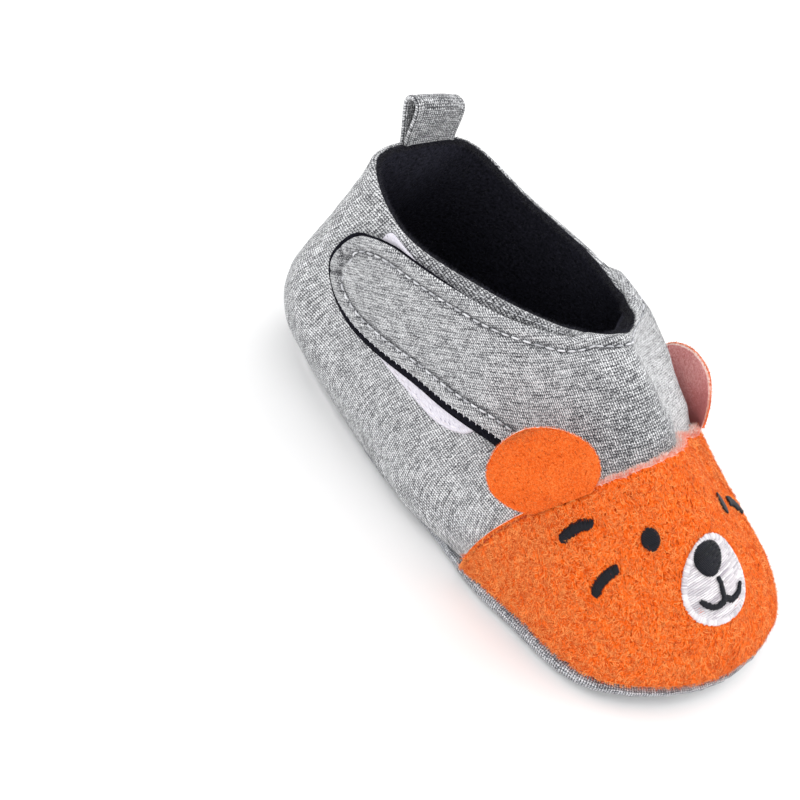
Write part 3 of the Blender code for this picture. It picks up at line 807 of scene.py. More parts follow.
# Angle round the rim at which the jersey ends, and how much less it is in front, in degrees
JERSEY_END = 108
JERSEY_CUT = 72


def over_rim(u):
    """1 where the front panel rolls over the rim, 0 along the quarter's own rim."""
    return within(u % RING, *PANEL_ROLLS)


def wide_fleece(u):
    """1 where the fleece follows the panel's roll: it leaves that roll before the panel does."""
    return within(u % RING, *FLEECE_ROLLS)


def rim_radius(u):
    return mix(QUARTER_ROLL, PANEL_ROLL, wide_fleece(u))


def rim_middle(u):
    return mix(-QUARTER_ROLL, PANEL_FACE - PANEL_ROLL, wide_fleece(u))


def cloth_end(u):
    """Angle round the rim at which the jersey ends and the fleece begins."""
    return np.radians(JERSEY_END - JERSEY_CUT * within(u % RING, *JERSEY_SHORT))


def rim_roll(u, angles, radius, middle, below):
    """Points round a rolled rim, for angles from the outside over the top to the inside."""
    u, angles, radius, middle, below = np.broadcast_arrays(u, angles, radius, middle, below)
    v = 1 - below / steepness(u, 1.0)
    out, up = normals(u, v), unit(tangents(u, v)[1])
    reach = middle + radius * np.cos(angles)
    return last(u, v) + out * reach[..., None] + up * (radius * np.sin(angles))[..., None]


def make_upper():
    """The jersey outside, from the turned seam at the sole up and over the rim."""
    u = np.linspace(-RING / 2, RING / 2, RING * 34 + 1)[:, None]
    below = QUARTER_ROLL + RIM_SUNK * wide_fleece(u)
    steep = steepness(u, 1.0)
    v = (1 - below / steep) * graded((0, 7), (0.05, 49), (0.9, 23))
    uu = np.broadcast_to(u, v.shape)
    from_rim = (1 - v) * steep
    place = cloth(uu, v, "quarter")
    soft = creased(uu % RING, v, CREASES) + 0.10 * rippled(place, 9.0, 3)
    lift = soft * (1 - blend(v, 0.85, 0.95)) - TURN_UNDER * (1 - blend(v, 0, TURN_HEIGHT))
    lift -= COLLAR_SINK * sum(hump(from_rim, at, COLLAR_GROOVE) for at in COLLAR_SEAMS) * (1 - over_rim(uu))
    angles = cloth_end(u) * np.linspace(0, 1, 10)[1:]
    radius = np.where(np.arange(9) == 8, QUARTER_ROLL - 0.15, QUARTER_ROLL)
    roll = rim_roll(u, angles, radius, -QUARTER_ROLL, below)
    points = np.concatenate([skin(uu, v, lift), roll], 1)
    uv = np.concatenate([cloth(uu, v, "quarter", KNIT_TURN),
                         cloth(u, v[:, -1:], "quarter", KNIT_TURN, angles * QUARTER_ROLL)], 1)
    around = np.broadcast_to(u, points.shape[:2])
    height = np.concatenate([v, np.ones_like(angles)], 1)
    # Painted shade: the strip between the strap and the rim is drawn darker, as in the strap's shadow.
    strip = within(around, *COLLAR_SHADED) * blend(height, 0.92, 0.95)
    made = sheet("upper_jersey", points, ["quarter_jersey"], uv, shade=-0.14 * strip, weld=True)
    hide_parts("upper")


def make_lining():
    """The fleece inside, from the rim down to the footbed."""
    u = np.linspace(-RING / 2, RING / 2, RING * 24 + 1)[:, None]
    radius, middle, below = rim_radius(u) - FLEECE_IN, rim_middle(u), rim_radius(u)
    start = cloth_end(u) - math.radians(12)
    angles = mix(start, math.pi, np.linspace(0, 1, 9))
    roll = rim_roll(u, angles, radius, middle, below)
    steep = steepness(u, 1.0)
    top = 1 - below / steep
    v = top * np.linspace(1, 0.02, 42)[1:]
    uu = np.broadcast_to(u, v.shape)
    place = cloth(uu, v, "quarter")
    lift = (middle - radius + WALL) * np.exp((v - top) * steep / 2.5) - WALL
    inside = skin(uu, v, lift + 0.12 * rippled(place, 5.0, 8))
    points = np.concatenate([roll, inside], 1)
    uv = np.concatenate([cloth(u, top, "quarter", 0.0, (math.pi - angles) * radius), place], 1)
    made = sheet("lining", points, ["black_fleece"], uv, weld=True)
    fuzz_lining()


def fuzz_lining():
    """Loose hairs of the fleece: a fringe along the rim, and a nap inside."""
    rim, inner = 14000, 16000
    u = RANDOM.uniform(-RING / 2, RING / 2, rim + inner)
    at = u[:rim]
    angle = cloth_end(at) + RANDOM.uniform(-0.08, 1.2, rim)
    fringe = rim_roll(at, angle, rim_radius(at) - FLEECE_IN, rim_middle(at), rim_radius(at))
    v = np.concatenate([np.full(rim, 0.97), RANDOM.uniform(0.12, 0.95, inner)])
    out, up = normals(u, v), unit(tangents(u, v)[1])
    away = -0.7 * out
    away[:rim] = towards(angle, out[:rim], up[:rim]) + 0.2 * up[:rim]
    roots = np.concatenate([fringe, skin(u[rim:], v[rim:], -WALL)])
    heading = unit(away + 0.6 * RANDOM.normal(size=away.shape))
    length = np.concatenate([RANDOM.uniform(0.4, 1.3, rim), RANDOM.uniform(0.4, 1.1, inner)])
    curl = RANDOM.normal(0, 0.5, len(u))
    hairs = hair(roots, heading, RANDOM.normal(size=away.shape), length, FLEECE_HAIR, curl)
    made = nap("lining_nap", "black_nap", hairs, RANDOM.uniform(0, 1, len(u)))


def bed_across(ring, count):
    """A grid straight across a closed ring, from its first half to its second."""
    half = len(ring) // 2
    return mix(ring[:half + 1, None], ring[::-1][:half + 1, None], np.linspace(0, 1, count)[:, None])


def plate(name, grid, bed, finish, uv, flip):
    """A piece from a rim grid and the bed that fills it."""
    points = np.concatenate([grid.reshape(-1, 3), bed.reshape(-1, 3)])
    faces = grid_faces(*grid.shape[:2], flip=flip)
    faces += grid_faces(*bed.shape[:2], grid.shape[0] * grid.shape[1], flip=flip)
    uv = np.concatenate([uv.reshape(-1, 2), bed.reshape(-1, 3)[:, :2]])
    return piece(name, points, faces, [finish], uv, weld=True)


def make_insole():
    """The footbed: a soft plate with a rounded edge."""
    u = np.linspace(0, RING, RING * 16 + 1)
    out = outwards(u)
    edge = seam(u) - out * INSOLE_INSET
    profile = ((0.0, 0.15), (0.0, 0.7), (0.25, 0.92), (0.8, 1.0), (3.0, 1.0), (6.0, 0.97), (SOLE_HEART, 0.95))
    rings = [edge - out * inset + np.array([0, 0, INSOLE_THICK * share]) for inset, share in profile]
    grid = np.stack(rings, 1)
    bed = bed_across(grid[:, -1], 9)
    for part in (grid[:, 3:], bed):
        part[..., 2] += 0.12 * rippled(part, 7.0, 5)
    made = plate("footbed", grid, bed, "black_fleece", grid[..., :2], False)
    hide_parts("insole")


# Sole

# Round the edge from its top inwards: reach past the lip, share of the height, share of the gathers
SOLE_PROFILE = (
    (-3.2, 1.000, 0.0), (-2.4, 1.000, 0.2), (-1.5, 1.000, 0.5), (-0.8, 0.985, 0.7), (-0.4, 0.950, 0.9),
    (-0.12, 0.860, 1.0), (0.0, 0.740, 1.0), (-0.03, 0.620, 1.0), (-0.12, 0.500, 0.9), (-0.3, 0.370, 0.8),
    (-0.6, 0.250, 0.6), (-1.1, 0.130, 0.4), (-1.8, 0.050, 0.2), (-2.8, 0.000, 0.0), (-4.5, 0.000, 0.0),
    (-6.5, 0.000, 0.0), (-SOLE_HEART, 0.000, 0.0),
)
# The ring's stretch with deeper gathers
SOLE_TOE = (4.2, 5.2, 6.8, 7.8)


def sole_bottom(x):
    """Height of the sole's underside: level, but for a shallow arch and the toe spring."""
    start, end = ARCH_SPAN
    arch = np.where((x > start) & (x < end), np.sin(np.pi * (x - start) / (end - start)) ** 2, 0.0)
    spring = np.clip((x - TOE_SPRING_START) / (LENGTH - TOE_SPRING_START), 0, None) ** 2
    return ARCH_RISE * arch + TOE_SPRING * spring


def sole_lip(u):
    """How far the sole reaches out past the seam."""
    right = blend(u - CAP_RIGHT, *SOLE_EASE_RIGHT)
    left = 1 - blend(u - STRAP[-1].u, *SOLE_EASE_LEFT)
    return right * left * (SOLE_LIP + GAP + CAP_THICK + SOLE_TUCK) - SOLE_TUCK


def make_sole():
    """The padded jersey sole: a rounded edge with small gathers, drawn in at the seam."""
    u = np.linspace(0, RING, RING * 40 + 1)
    edge, out = seam(u), outwards(u)
    top = edge[:, 2] - GAP
    girth = cloth(u, 0.0, "quarter")[:, 0]
    gather = 0.08 * ripple(girth, 0.0, 4.0, 21) + 0.06 * ripple(girth, 0.0, 1.9, 22)
    gather = gather * (1 + within(u, *SOLE_TOE))
    rings = []
    for reach, share, swell in SOLE_PROFILE:
        ring = edge + out * (sole_lip(u) + reach + swell * gather)[:, None]
        ring[:, 2] = mix(sole_bottom(ring[:, 0]), top, share)
        rings.append(ring)
    grid = np.stack(rings, 1)
    down = np.linalg.norm(np.diff(grid, axis=1), axis=-1).mean(0)
    down = np.concatenate([[0], np.cumsum(down)])
    bed = bed_across(grid[:, -1], 9)
    bed[..., 2] = sole_bottom(bed[..., 0])
    uv = np.stack(np.broadcast_arrays(girth[:, None], down), -1)
    made = plate("sole_pad", grid, bed, "sole_jersey", uv, True)
    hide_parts("sole")


# Strap and loop tape

EDGE_SAMPLES = 40
STRAP_ROWS = 44
ROLL_ROWS = 12
# The panel dives under the cap from here on, down to a lower lift, and reaches this far in
PANEL_DIVES = (4.35, 4.75)
PANEL_TUCK = 2.5
PANEL_UNDER = 0.48
PANEL_UNDER_THICK = 0.4
DIVE_LENGTH = 6.0
SCALLOP = 1.6
SCALLOP_DEPTH = 0.3
OVERCAST_SPAN = (1.75, 4.28)
OVERCAST_RADIUS = 0.13
BACKING_END = 4.35
BACKING_THICK = 0.7
BACKING_LIFT = 0.36
OUTLINE_STEP = 0.2
# The stitch line: distance from the edge, depth and width. The swell between it and the edge, likewise.
STITCH_INSET = 3.0
STITCH_SINK = 0.5
STITCH_GROOVE = 0.4
SWELL_INSET = 1.5
SWELL_HEIGHT = 0.14
SWELL_WIDTH = 0.7
STITCHES_START = 1.70
STITCHES_LOW_END = 4.28
STITCHES_FADE = (8.2, 8.4)
# Ring positions: the strap's free lower edge ends, the panel's left end is thinned and turned under
FREE_EDGE = (4.1, 4.4)
SEWN_END = (8.3, 8.9)
TURNED_END = (8.2, 8.5)
# The strap's dark side ends here
DARK_SIDE = 4.5
# Stretches of the panel: softened, with painted shade, and with painted light
PANEL_EASED = (5.8, 6.2, 7.3, 7.7)
PANEL_SHADED = (4.7, 5.3, 5.9, 6.6)
PANEL_LIT = (6.2, 6.8, 7.4, 8.0)


def band_edges(rows, fine, coarse, change):
    """Lower and upper edge of a band from its round tip on, with columns that change from fine to coarse."""
    tip = [(rows[0].u, (rows[0].low + rows[0].top) / 2)]
    low = [(row.u, row.low) for row in rows[1:]]
    top = [(row.u, row.top) for row in rows[1:]]
    line = smooth_rows(top[::-1] + tip + low, EDGE_SAMPLES)
    middle = len(top) * EDGE_SAMPLES
    low, top = line[middle:], line[middle::-1]
    paces = [np.diff(run_of(last(*edge.T))) for edge in (low, top)]
    pace = np.maximum(*paces) / mix(fine, coarse, blend(low[1:, 0], *change))
    run = np.concatenate([[0], np.cumsum(pace)])
    at = np.linspace(0, run[-1], int(run[-1]) + 2)
    return along_path(at, run, low), along_path(at, run, top)


def behind_cap(u):
    """Lowest height that stays behind the cap's edge, and 0 beside the cap."""
    near = [np.clip(u + shift, CAP_RIGHT + 0.02, CAP_LEFT - 0.02) for shift in (-SIDE_CLEAR, 0, SIDE_CLEAR)]
    edge = np.max([cap_edge(place) for place in near], axis=0)
    inside = (u > CAP_RIGHT - SIDE_CLEAR) & (u < CAP_LEFT + SIDE_CLEAR)
    return np.where(inside, edge + EDGE_CLEAR, 0.0)


def strap_lift(u):
    """Height of the strap's underside over the upper."""
    return GAP + (TAPE_THICK + GAP) * (1 - blend(u, *STRAP_OVER_TAPE))


def strap_edges():
    """The strap's lower and upper edge: behind the cap on the right, then under the cap."""
    low, top = band_edges(STRAP, 0.28, 0.6, (4.3, 4.8))
    u = low[:, 0]
    low[:, 1] = mix(np.maximum(low[:, 1], behind_cap(u)), cap_edge(u, PANEL_TUCK), blend(u, *PANEL_DIVES))
    top[:, 1] = np.minimum(top[:, 1], 1.0)
    return low, top


def inset(places, distance):
    """Places moved off a path of places by a distance in millimetres, up where it runs on along the ring."""
    u, v = places.T
    path = last(u, v)
    across = np.cross(normals(u, v), unit(np.gradient(path, axis=0)))
    return np.stack(nearest_place(path + unit(across) * np.reshape(distance, (-1, 1)), u, v), -1)


def ease(points, weight, rounds=50):
    """Soften sharp turns of a grid along the ring, where the weight is above 0."""
    for _ in range(rounds):
        points[1:-1] += 0.25 * weight[1:-1, :, None] * (points[:-2] + points[2:] - 2 * points[1:-1])


def make_strap():
    """The closing strap: rounded edges, a sunk stitch line, and in front a roll over the rim."""
    low, top = strap_edges()
    fringe = scalloped(low)
    steep = steepness(top[:, 0], 1.0)
    part = np.minimum(PANEL_ROLL / (steep * np.maximum(top[:, 1] - low[:, 1], 1e-6)), 0.25)[:, None]
    turn = np.linspace(0, 1, ROLL_ROWS + 1)[1:]
    share = np.concatenate([spread(STRAP_ROWS) * (1 - part), 1 - part + part * turn], 1)
    u, v = np.moveaxis(mix(fringe[:, None], top[:, None], share[..., None]), -1, 0)
    surface = last(u, v)
    end = last(np.full(60, low[-1, 0]), np.linspace(low[-1, 1], top[-1, 1], 60))
    from_low, from_top, from_end = (
        edge_distance(surface, resample(line, OUTLINE_STEP)) for line in (last(*fringe.T), last(*top.T), end)
    )
    from_low[:, 0], from_low[0], from_top[:, -1], from_end[-1] = 0, 0, 0, 0
    rolled = over_rim(u)
    gap = np.minimum(np.minimum(from_low, from_top + 9 * rolled), from_end)
    dive = blend(u, *PANEL_DIVES) * (1 - blend(-before_cap_edge(surface), 0, DIVE_LENGTH))
    thick = mix(STRAP_THICK, PANEL_UNDER_THICK, dive)
    sewn = blend(u, *SEWN_END)
    thick = mix(thick, PANEL_UNDER_THICK, sewn)
    face = strap_lift(u) + STRAP_THICK - (PANEL_FACE - PANEL_UNDER) * np.maximum(dive, sewn)
    face -= TURN_UNDER * (1 - blend(v, 0, TURN_HEIGHT)) * blend(u, *TURNED_END)
    place = cloth(u, v, "panel")
    soft = creased(u % RING, v, PANEL_CREASES) + 0.10 * rippled(place, 8.0, 31)
    soft *= blend(gap, 0.5, 5.0)
    free = 1 - blend(u, *FREE_EDGE)
    low_groove, top_groove = (hump(gone, STITCH_INSET, STITCH_GROOVE) for gone in (from_low, from_top))
    sink = STITCH_SINK * np.maximum(low_groove * free, top_groove * (1 - blend(u, *STITCHES_FADE)))
    low_swell, top_swell = (hump(gone, SWELL_INSET, SWELL_WIDTH) for gone in (from_low, from_top))
    swell = SWELL_HEIGHT * (low_swell * free + top_swell * (1 - rolled))
    half = round_edge(gap, thick)
    full = 2 * half / thick
    outer = skin(u, v, face - thick / 2 + half + (soft + swell - sink) * full)
    inner = skin(u, v, face - thick / 2 - half + np.minimum(soft, 0) * full)
    ease(outer, within(u, *PANEL_EASED) * (1 - blend(v, 0.88, 0.97)))
    angles = cloth_end(top[:, :1]) * turn
    weight = over_rim(u[:, STRAP_ROWS:])[..., None]
    for side, thin in ((outer, 0.0), (inner, 1.0)):
        radius = PANEL_ROLL - thin * (1 - turn**3)
        arc = rim_roll(top[:, :1], angles, radius, PANEL_FACE - PANEL_ROLL, PANEL_ROLL)
        side[:, STRAP_ROWS:] = mix(side[:, STRAP_ROWS:], arc, weight)
    uv = place.copy()
    risen = (v[:, STRAP_ROWS:] - v[:, STRAP_ROWS - 1:STRAP_ROWS]) * steep[:, None]
    uv[:, STRAP_ROWS:, 1] += weight[..., 0] * (angles * PANEL_ROLL - risen)
    dark_side = (u[1:, 1:] < DARK_SIDE).astype(int)
    # Painted shade over the middle of the panel, except close to the rim, and painted light on its far side.
    panel_shade = within(u, *PANEL_SHADED) * (1 - blend(v, 0.82, 0.95))
    # The stitch grooves are drawn darker too: painted shade in the grooves.
    shade = 0.22 * within(u, *PANEL_LIT) - 0.12 * panel_shade - 0.6 * sink
    made = both_sides("strap_jersey", outer, inner, ["grey_jersey", "navy_edge"], uv,
                      (0, dark_side), (shade, 0.0))
    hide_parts("strap")
    make_backing(low, top)
    overcast(low)
    stitch_strap(low, top)


def scalloped(low):
    """The lower edge drawn in at each overcast stitch."""
    u, v = low.T
    draw = (1 - np.abs(np.sin(math.pi * run_of(last(u, v)) / SCALLOP))) ** 2
    start, end = OVERCAST_SPAN
    draw *= within(u, start - 0.05, start, end, end + 0.1)
    return np.stack([u, v + SCALLOP_DEPTH * draw / steepness(u, v)], -1)


def overcast(low):
    """Short threads that draw the lower edge in, from the strap's face down to its backing."""
    run = run_of(last(*low.T))
    at = np.arange(SCALLOP, run[-1], SCALLOP)
    steps = ((0.85, STRAP_THICK - 0.12), (0.45, STRAP_THICK - 0.10), (0.15, 0.95), (-0.25, 0.74))
    lines = [along_path(at, run, inset(low, distance)) for distance, _ in steps]
    keep = (lines[2][:, 0] > OVERCAST_SPAN[0]) & (lines[2][:, 0] < OVERCAST_SPAN[1])
    places = np.stack(lines, 1)[keep]
    lift = strap_lift(places[..., 0]) + np.array([height for _, height in steps])
    paths = skin(places[..., 0], places[..., 1], lift)
    points, faces = tubes(paths, normals(places[..., 0], places[..., 1]), OVERCAST_RADIUS, THREAD_SIDES)
    shade = np.repeat(RANDOM.uniform(0.5, 1.0, len(paths)), len(steps) * THREAD_SIDES)
    made = piece("strap_overcast", points, faces, ["grey_thread"], shade=shade)


def flat_band(name, low, top, rows, step, thick, lift, finish, chart):
    """A closed sheet between two edges, with a rounded border. Lift gives its middle's height at places u."""
    u, v = np.moveaxis(mix(low[:, None], top[:, None], spread(rows)[:, None]), -1, 0)
    outline = resample(last(*np.concatenate([low[::-1], top[1:]]).T), step)
    distance = edge_distance(last(u, v), outline)
    distance[0], distance[-1], distance[:, 0], distance[:, -1] = 0, 0, 0, 0
    half, middle = round_edge(distance, thick), lift(u)
    outer, inner = skin(u, v, middle + half), skin(u, v, middle - half)
    return both_sides(name, outer, inner, [finish], cloth(u, v, chart))


def make_backing(low, top):
    """The dark backing of the strap's free end. Its edge shows, most along the lower side."""
    keep = low[:, 0] < BACKING_END
    low, top = low[keep], top[keep]
    down = mix(0.95, 1.8, blend(low[:, 0], 1.55, 2.0))
    up = 0.95 - 0.6 * blend(low[:, 0], 1.52, 1.8) - 0.5 * blend(low[:, 0], 2.4, 3.2)
    low, top = inset(low, -down), inset(top, up)
    tip = (low[0] + top[0]) / 2
    low[0], top[0] = tip, tip
    made = flat_band("strap_backing", low, top, 14, OUTLINE_STEP, BACKING_THICK,
                     lambda u: strap_lift(u) + BACKING_LIFT, "navy_edge", "panel")


def stitches(name, places, lift, finish, step, length, radius):
    """A run of topstitches along a path of places: each lies on the cloth and dives in at both ends."""
    run = run_of(last(*places.T))
    line = np.concatenate([places, np.broadcast_to(lift, len(places))[:, None]], 1)
    starts = np.arange(0.4, run[-1] - length, step)
    share = np.linspace(0, 1, 8)
    at = starts[:, None] + length * share + RANDOM.uniform(-0.12, 0.12, (len(starts), 1))
    u, v, lift = np.moveaxis(along_path(at, run, line), -1, 0)
    arch = np.sin(math.pi * share) ** 0.5
    paths = skin(u, v, lift + radius * (1.5 * arch - 0.9))
    points, faces = tubes(paths, normals(u, v), radius * (0.55 + 0.45 * arch), STITCH_SIDES)
    shade = np.repeat(RANDOM.uniform(0.2, 0.9, len(starts)), len(share) * STITCH_SIDES)
    return piece(name, points, faces, [finish], shade=shade)


def stitch_strap(low, top):
    """Topstitching all round the strap, in from its edge."""
    low_line = inset(low[low[:, 0] < DARK_SIDE], STITCH_INSET)
    top_line = inset(top, -STITCH_INSET)
    low_line, top_line = (
        line[(line[:, 0] > STITCHES_START) & (line[:, 0] < end)]
        for line, end in ((low_line, STITCHES_LOW_END), (top_line, STITCHES_FADE[0]))
    )
    line = np.concatenate([low_line[::-1], top_line])
    lift = strap_lift(line[:, 0]) + STRAP_THICK - 0.18
    made = stitches("strap_stitches", line, lift, "grey_thread", step=2.1, length=1.5, radius=0.21)


def make_tape():
    """The white loop tape, with its lower edge and one corner past the strap."""
    low, top = band_edges(TAPE, 0.4, 0.4, (2.0, 3.0))
    made = flat_band("tape_loops", low, top, 24, 0.25, TAPE_THICK, lambda u: GAP + TAPE_THICK / 2 - 0.1,
                     "white_tape", "cap")
    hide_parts("loop_tape")
    sewn = stitches("tape_stitches", inset(low, 1.1), GAP + TAPE_THICK - 0.2, "white_thread",
                    step=2.2, length=1.9, radius=0.15)


def stitch_collar():
    """Small stitches along the strip between the strap and the rim."""
    u = np.linspace(2.2, 4.3, 260)
    line = inset(np.stack([u, np.full_like(u, 0.99)], -1), -0.9)
    made = stitches("collar_stitches", line, -0.05, "grey_thread", step=1.7, length=1.2, radius=0.13)


# Toe cap and ears

CAP_COLUMNS = 280
CAP_FACE = GAP + CAP_THICK
RAW_EDGE_AT = 0.4
SEWN_RIGHT = 5.05
SEWN_LEFT = 7.45
UNSEWN = (SEWN_RIGHT, 5.3, 7.2, SEWN_LEFT)
CAP_FRONT = (4.9, 5.3, 7.5, 7.8)
# Lift of the raw edge's foot on the panel, the shape of its slope, and the turn of the cap's grain
RAW_FOOT = 0.58
RAW_SLOPE = 1.6
CAP_GRAIN = 15.0
# Depth and width of the cap's seam
CAP_SINK = 0.5
CAP_GROOVE = 0.42
# On the far side the cap's back edge is moved forward: how far, where and over what width
FAR_SHIFT = 1.2
FAR_SHIFT_AT = 7.3
FAR_SHIFT_WIDTH = 0.2


def raw_width(u):
    """Width of the pale cut edge that shows behind the cap."""
    return 0.3 + within(u, *CAP_FRONT) * (0.5 + blend(u, 5.7, 7.1))


def edge_wave(u):
    """How far the cap's back edge is moved forward: a small wave, and more on the far side."""
    girth = cloth(u, 0.5, "cap")[..., 0]
    wave = 0.16 * ripple(girth, 0.0, 2.6, 45) * within(u, *CAP_FRONT)
    return wave + FAR_SHIFT * hump(u, FAR_SHIFT_AT, FAR_SHIFT_WIDTH)


def raw_edge(u, share):
    """Distance inside the cap's edge, for shares from the end of its face to the back of its raw edge."""
    return RAW_EDGE_AT + raw_width(u) * (0.5 - share) + edge_wave(u)


def cap_surface(u, share):
    """Places and outer lift of the cap, for shares from the sole seam to the end of its face."""
    v = share * cap_edge(u, raw_edge(u, 0.0))
    inside = before_cap_edge(last(u, v))
    sewn = CAP_SINK * hump(inside, EAR_SEAM, CAP_GROOVE) * (1 - within(u, *UNSEWN))
    soft = 0.14 * rippled(cloth(u, v, "cap"), 7.0, 41) * blend(v, 0.02, 0.10)
    return v, CAP_FACE - sewn - TURN_UNDER * (1 - blend(v, 0, TURN_HEIGHT)) + soft


def make_cap():
    """The suede cap: napped face and a raw pale edge that slopes down to the panel behind it."""
    u = np.linspace(CAP_RIGHT + 0.015, CAP_LEFT - 0.015, CAP_COLUMNS)[:, None]
    share = graded((0, 45), (0.9, 23))
    uu, ss = (np.array(a) for a in np.broadcast_arrays(u, share))
    v, lift = cap_surface(uu, ss)
    step = np.linspace(0, 1, 6)[1:]
    foot = mix(0.12, RAW_FOOT, blend(u, *PANEL_DIVES))
    inside = raw_edge(u, step)
    band_u = np.broadcast_to(u, inside.shape)
    band_v = cap_edge(band_u, inside)
    band_lift = mix(lift[:, -1:], foot, step**RAW_SLOPE)
    hem_v = cap_edge(u, RAW_EDGE_AT + raw_width(u) / 2 + 1.2)
    bands = ((uu, v, lift), (band_u, band_v, band_lift), (u, hem_v, foot - 0.04))
    points = np.concatenate([skin(*band) for band in bands], 1)
    uv = np.concatenate([cloth(at, height, "cap", CAP_GRAIN) for at, height, _ in bands], 1)
    finish = np.zeros((len(u) - 1, points.shape[1] - 1), int)
    finish[:, len(share) - 1:] = 1
    made = sheet("cap_suede", points, ["orange_suede", "raw_edge"], uv, face_finish=finish.ravel())
    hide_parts("toe_cap")
    nap_cap()
    fringe_cap()
    stitch_cap()


def covered_by_thread(points):
    """True where embroidery lies over the cap's nap."""
    hidden = np.zeros(len(points), bool)
    for patch in PATCHES.values():
        centre, wide, tall = patch_frame(patch)
        offset = points - centre
        x, y = offset @ wide / patch.half_wide, offset @ tall / patch.half_tall
        hidden |= x * x + y * y < 0.96
    for stroke in STROKES.values():
        hidden |= edge_distance(points, stroke_line(stroke)[0]) < stroke.half
    return hidden


def nap_cap():
    """The cap's nap: short curly fibres that lie in swirls."""
    count = 36000
    u = RANDOM.uniform(CAP_RIGHT, CAP_LEFT, count)
    v, lift = cap_surface(u, RANDOM.uniform(0.03, 0.99, count))
    keep = ~covered_by_thread(skin(u, v, lift))
    u, v, lift = u[keep], v[keep], lift[keep]
    count = len(u)
    along, out = unit(tangents(u, v)[0]), normals(u, v)
    up = np.cross(out, along)
    place = cloth(u, v, "cap")
    swirl = 1.5 * rippled(place, 3.2, 51) + 0.9 * rippled(place, 11.0, 52)
    flat = towards(swirl - math.pi / 2 + RANDOM.normal(0, 0.6, count), along, up)
    lay = np.radians(RANDOM.uniform(4, 24, count))
    length = RANDOM.uniform(0.7, 1.7, count)
    curl = RANDOM.normal(0, 0.75, count)
    root = skin(u, v, lift - 0.03)
    hairs = hair(root, towards(lay, flat, out), np.cross(flat, out), length, CAP_HAIR, curl)
    shade = np.clip(RANDOM.normal(0.50, 0.38, count), 0, 1)
    made = nap("cap_nap", "orange_nap", hairs, shade)


def fringe_cap():
    """Frayed fibres along the cap's raw edge."""
    count = 7000
    u = RANDOM.uniform(4.85, 7.75, count)
    back = RANDOM.uniform(0, 1, count)
    v = cap_edge(u, raw_edge(u, back))
    lift = mix(CAP_FACE, RAW_FOOT, back**RAW_SLOPE)
    out, up = normals(u, v), unit(tangents(u, v)[1])
    heading = unit(0.8 * up + 0.4 * out + 0.75 * RANDOM.normal(size=out.shape))
    length = RANDOM.uniform(0.4, 1.2, count)
    hairs = hair(skin(u, v, lift - 0.02), heading, RANDOM.normal(size=out.shape), length, FRINGE_HAIR,
                 RANDOM.normal(0, 0.5, count))
    shade = np.clip(RANDOM.normal(0.30, 0.30, count) + 0.6 * back, 0, 1)
    made = nap("cap_fringe", "pale_nap", hairs, shade)


def stitch_cap():
    """The seam that holds the cap: short sunk stitches in from its back edge, on both sides."""
    for side, start, end in (("right", CAP_RIGHT + 0.10, SEWN_RIGHT), ("left", SEWN_LEFT, CAP_LEFT - 0.10)):
        u = np.linspace(start, end, 200)
        places = np.stack([u, cap_edge(u, EAR_SEAM)], -1)
        made = stitches("cap_stitches_" + side, places, CAP_FACE - 0.40, "rust_thread",
                        step=2.3, length=1.9, radius=0.18)


def ear_frame(name):
    """Base points and axes of an ear: along its base, up its face and out of its front."""
    ear = EARS[name]
    u = np.linspace(ear.start, ear.end, 41)
    v = cap_edge(u, EAR_SEAM)
    base = skin(u, v, CAP_FACE + GAP + CAP_THICK / 2 - ear.sunk)
    middle = len(u) // 2
    chord = unit(base[-1] - base[0])
    face = normals(u[middle], v[middle])
    stand = math.radians(ear.stand)
    grow = math.cos(stand) * np.cross(face, chord) + math.sin(stand) * face
    front = np.cross(chord, grow)
    twist = math.radians(ear.twist)
    turned = math.cos(twist) * chord - math.sin(twist) * front
    return base, turned, grow, math.cos(twist) * front + math.sin(twist) * chord


EAR_RISE = math.sqrt(EAR_RADIUS**2 - EAR_CHORD**2 / 4)
EAR_LOWEST = -math.asin(EAR_RISE / EAR_RADIUS)
EAR_HALF = 0.5
EAR_RAW_RIM = 0.30


def ear_sheet(name, across, angles):
    """Middle surface of an ear: a disc cut by its base, a little cupped."""
    base, chord, grow, front = ear_frame(name)
    centre = (base[0] + base[-1]) / 2
    height = EAR_RISE + EAR_RADIUS * np.sin(angles)
    width = EAR_RADIUS * np.cos(angles)
    fade = (1 - height / (EAR_RISE + EAR_RADIUS)) ** 2
    flat = centre + (across * width)[..., None] * chord + height[..., None] * grow
    bend = EAR_CUP * (across * width / EAR_RADIUS) ** 2 * (1 - fade)
    wave = 0.25 * ripple(across * width, height, 9.0, 61) * blend(angles, EAR_LOWEST, EAR_LOWEST + 1.0)
    foot = along_path((across + 1) / 2, np.linspace(0, 1, len(base)), base)
    foot = foot - centre - (across * EAR_CHORD / 2)[..., None] * chord
    return flat + (bend + wave)[..., None] * front + foot * fade[..., None], front


def make_ear(name):
    """An ear: napped front, paler back and a thin cut edge."""
    angles = np.linspace(EAR_LOWEST, math.radians(89.5), 46)
    across = np.sin(np.linspace(-math.pi / 2, math.pi / 2, 41))
    aa, hh = np.meshgrid(across, angles, indexing="ij")
    sheet, front = ear_sheet(name, aa, hh)
    border = np.concatenate([sheet[0], sheet[-1][::-1]])
    distance = edge_distance(sheet, resample(border, OUTLINE_STEP))
    distance[0], distance[-1], distance[:, -1] = 0, 0, 0
    half = round_edge(distance, 2 * EAR_HALF)[..., None]
    uv = np.stack([aa * EAR_RADIUS * np.cos(hh), EAR_RADIUS * np.sin(hh)], -1)
    rim = (distance[:-1, :-1] + distance[1:, 1:]) / 2 < EAR_RAW_RIM
    # Painted shade on the ear's back, darker towards its base at the cap.
    low = -0.30 * (1 - blend(hh, EAR_LOWEST, 0.3))
    made = both_sides(name + "_suede", sheet + half * front, sheet - half * front,
                      ["ear_suede", "suede_back", "raw_edge"], uv, (0, np.where(rim, 2, 1)), (0.0, low))
    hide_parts(name)
    nap_ear(name)


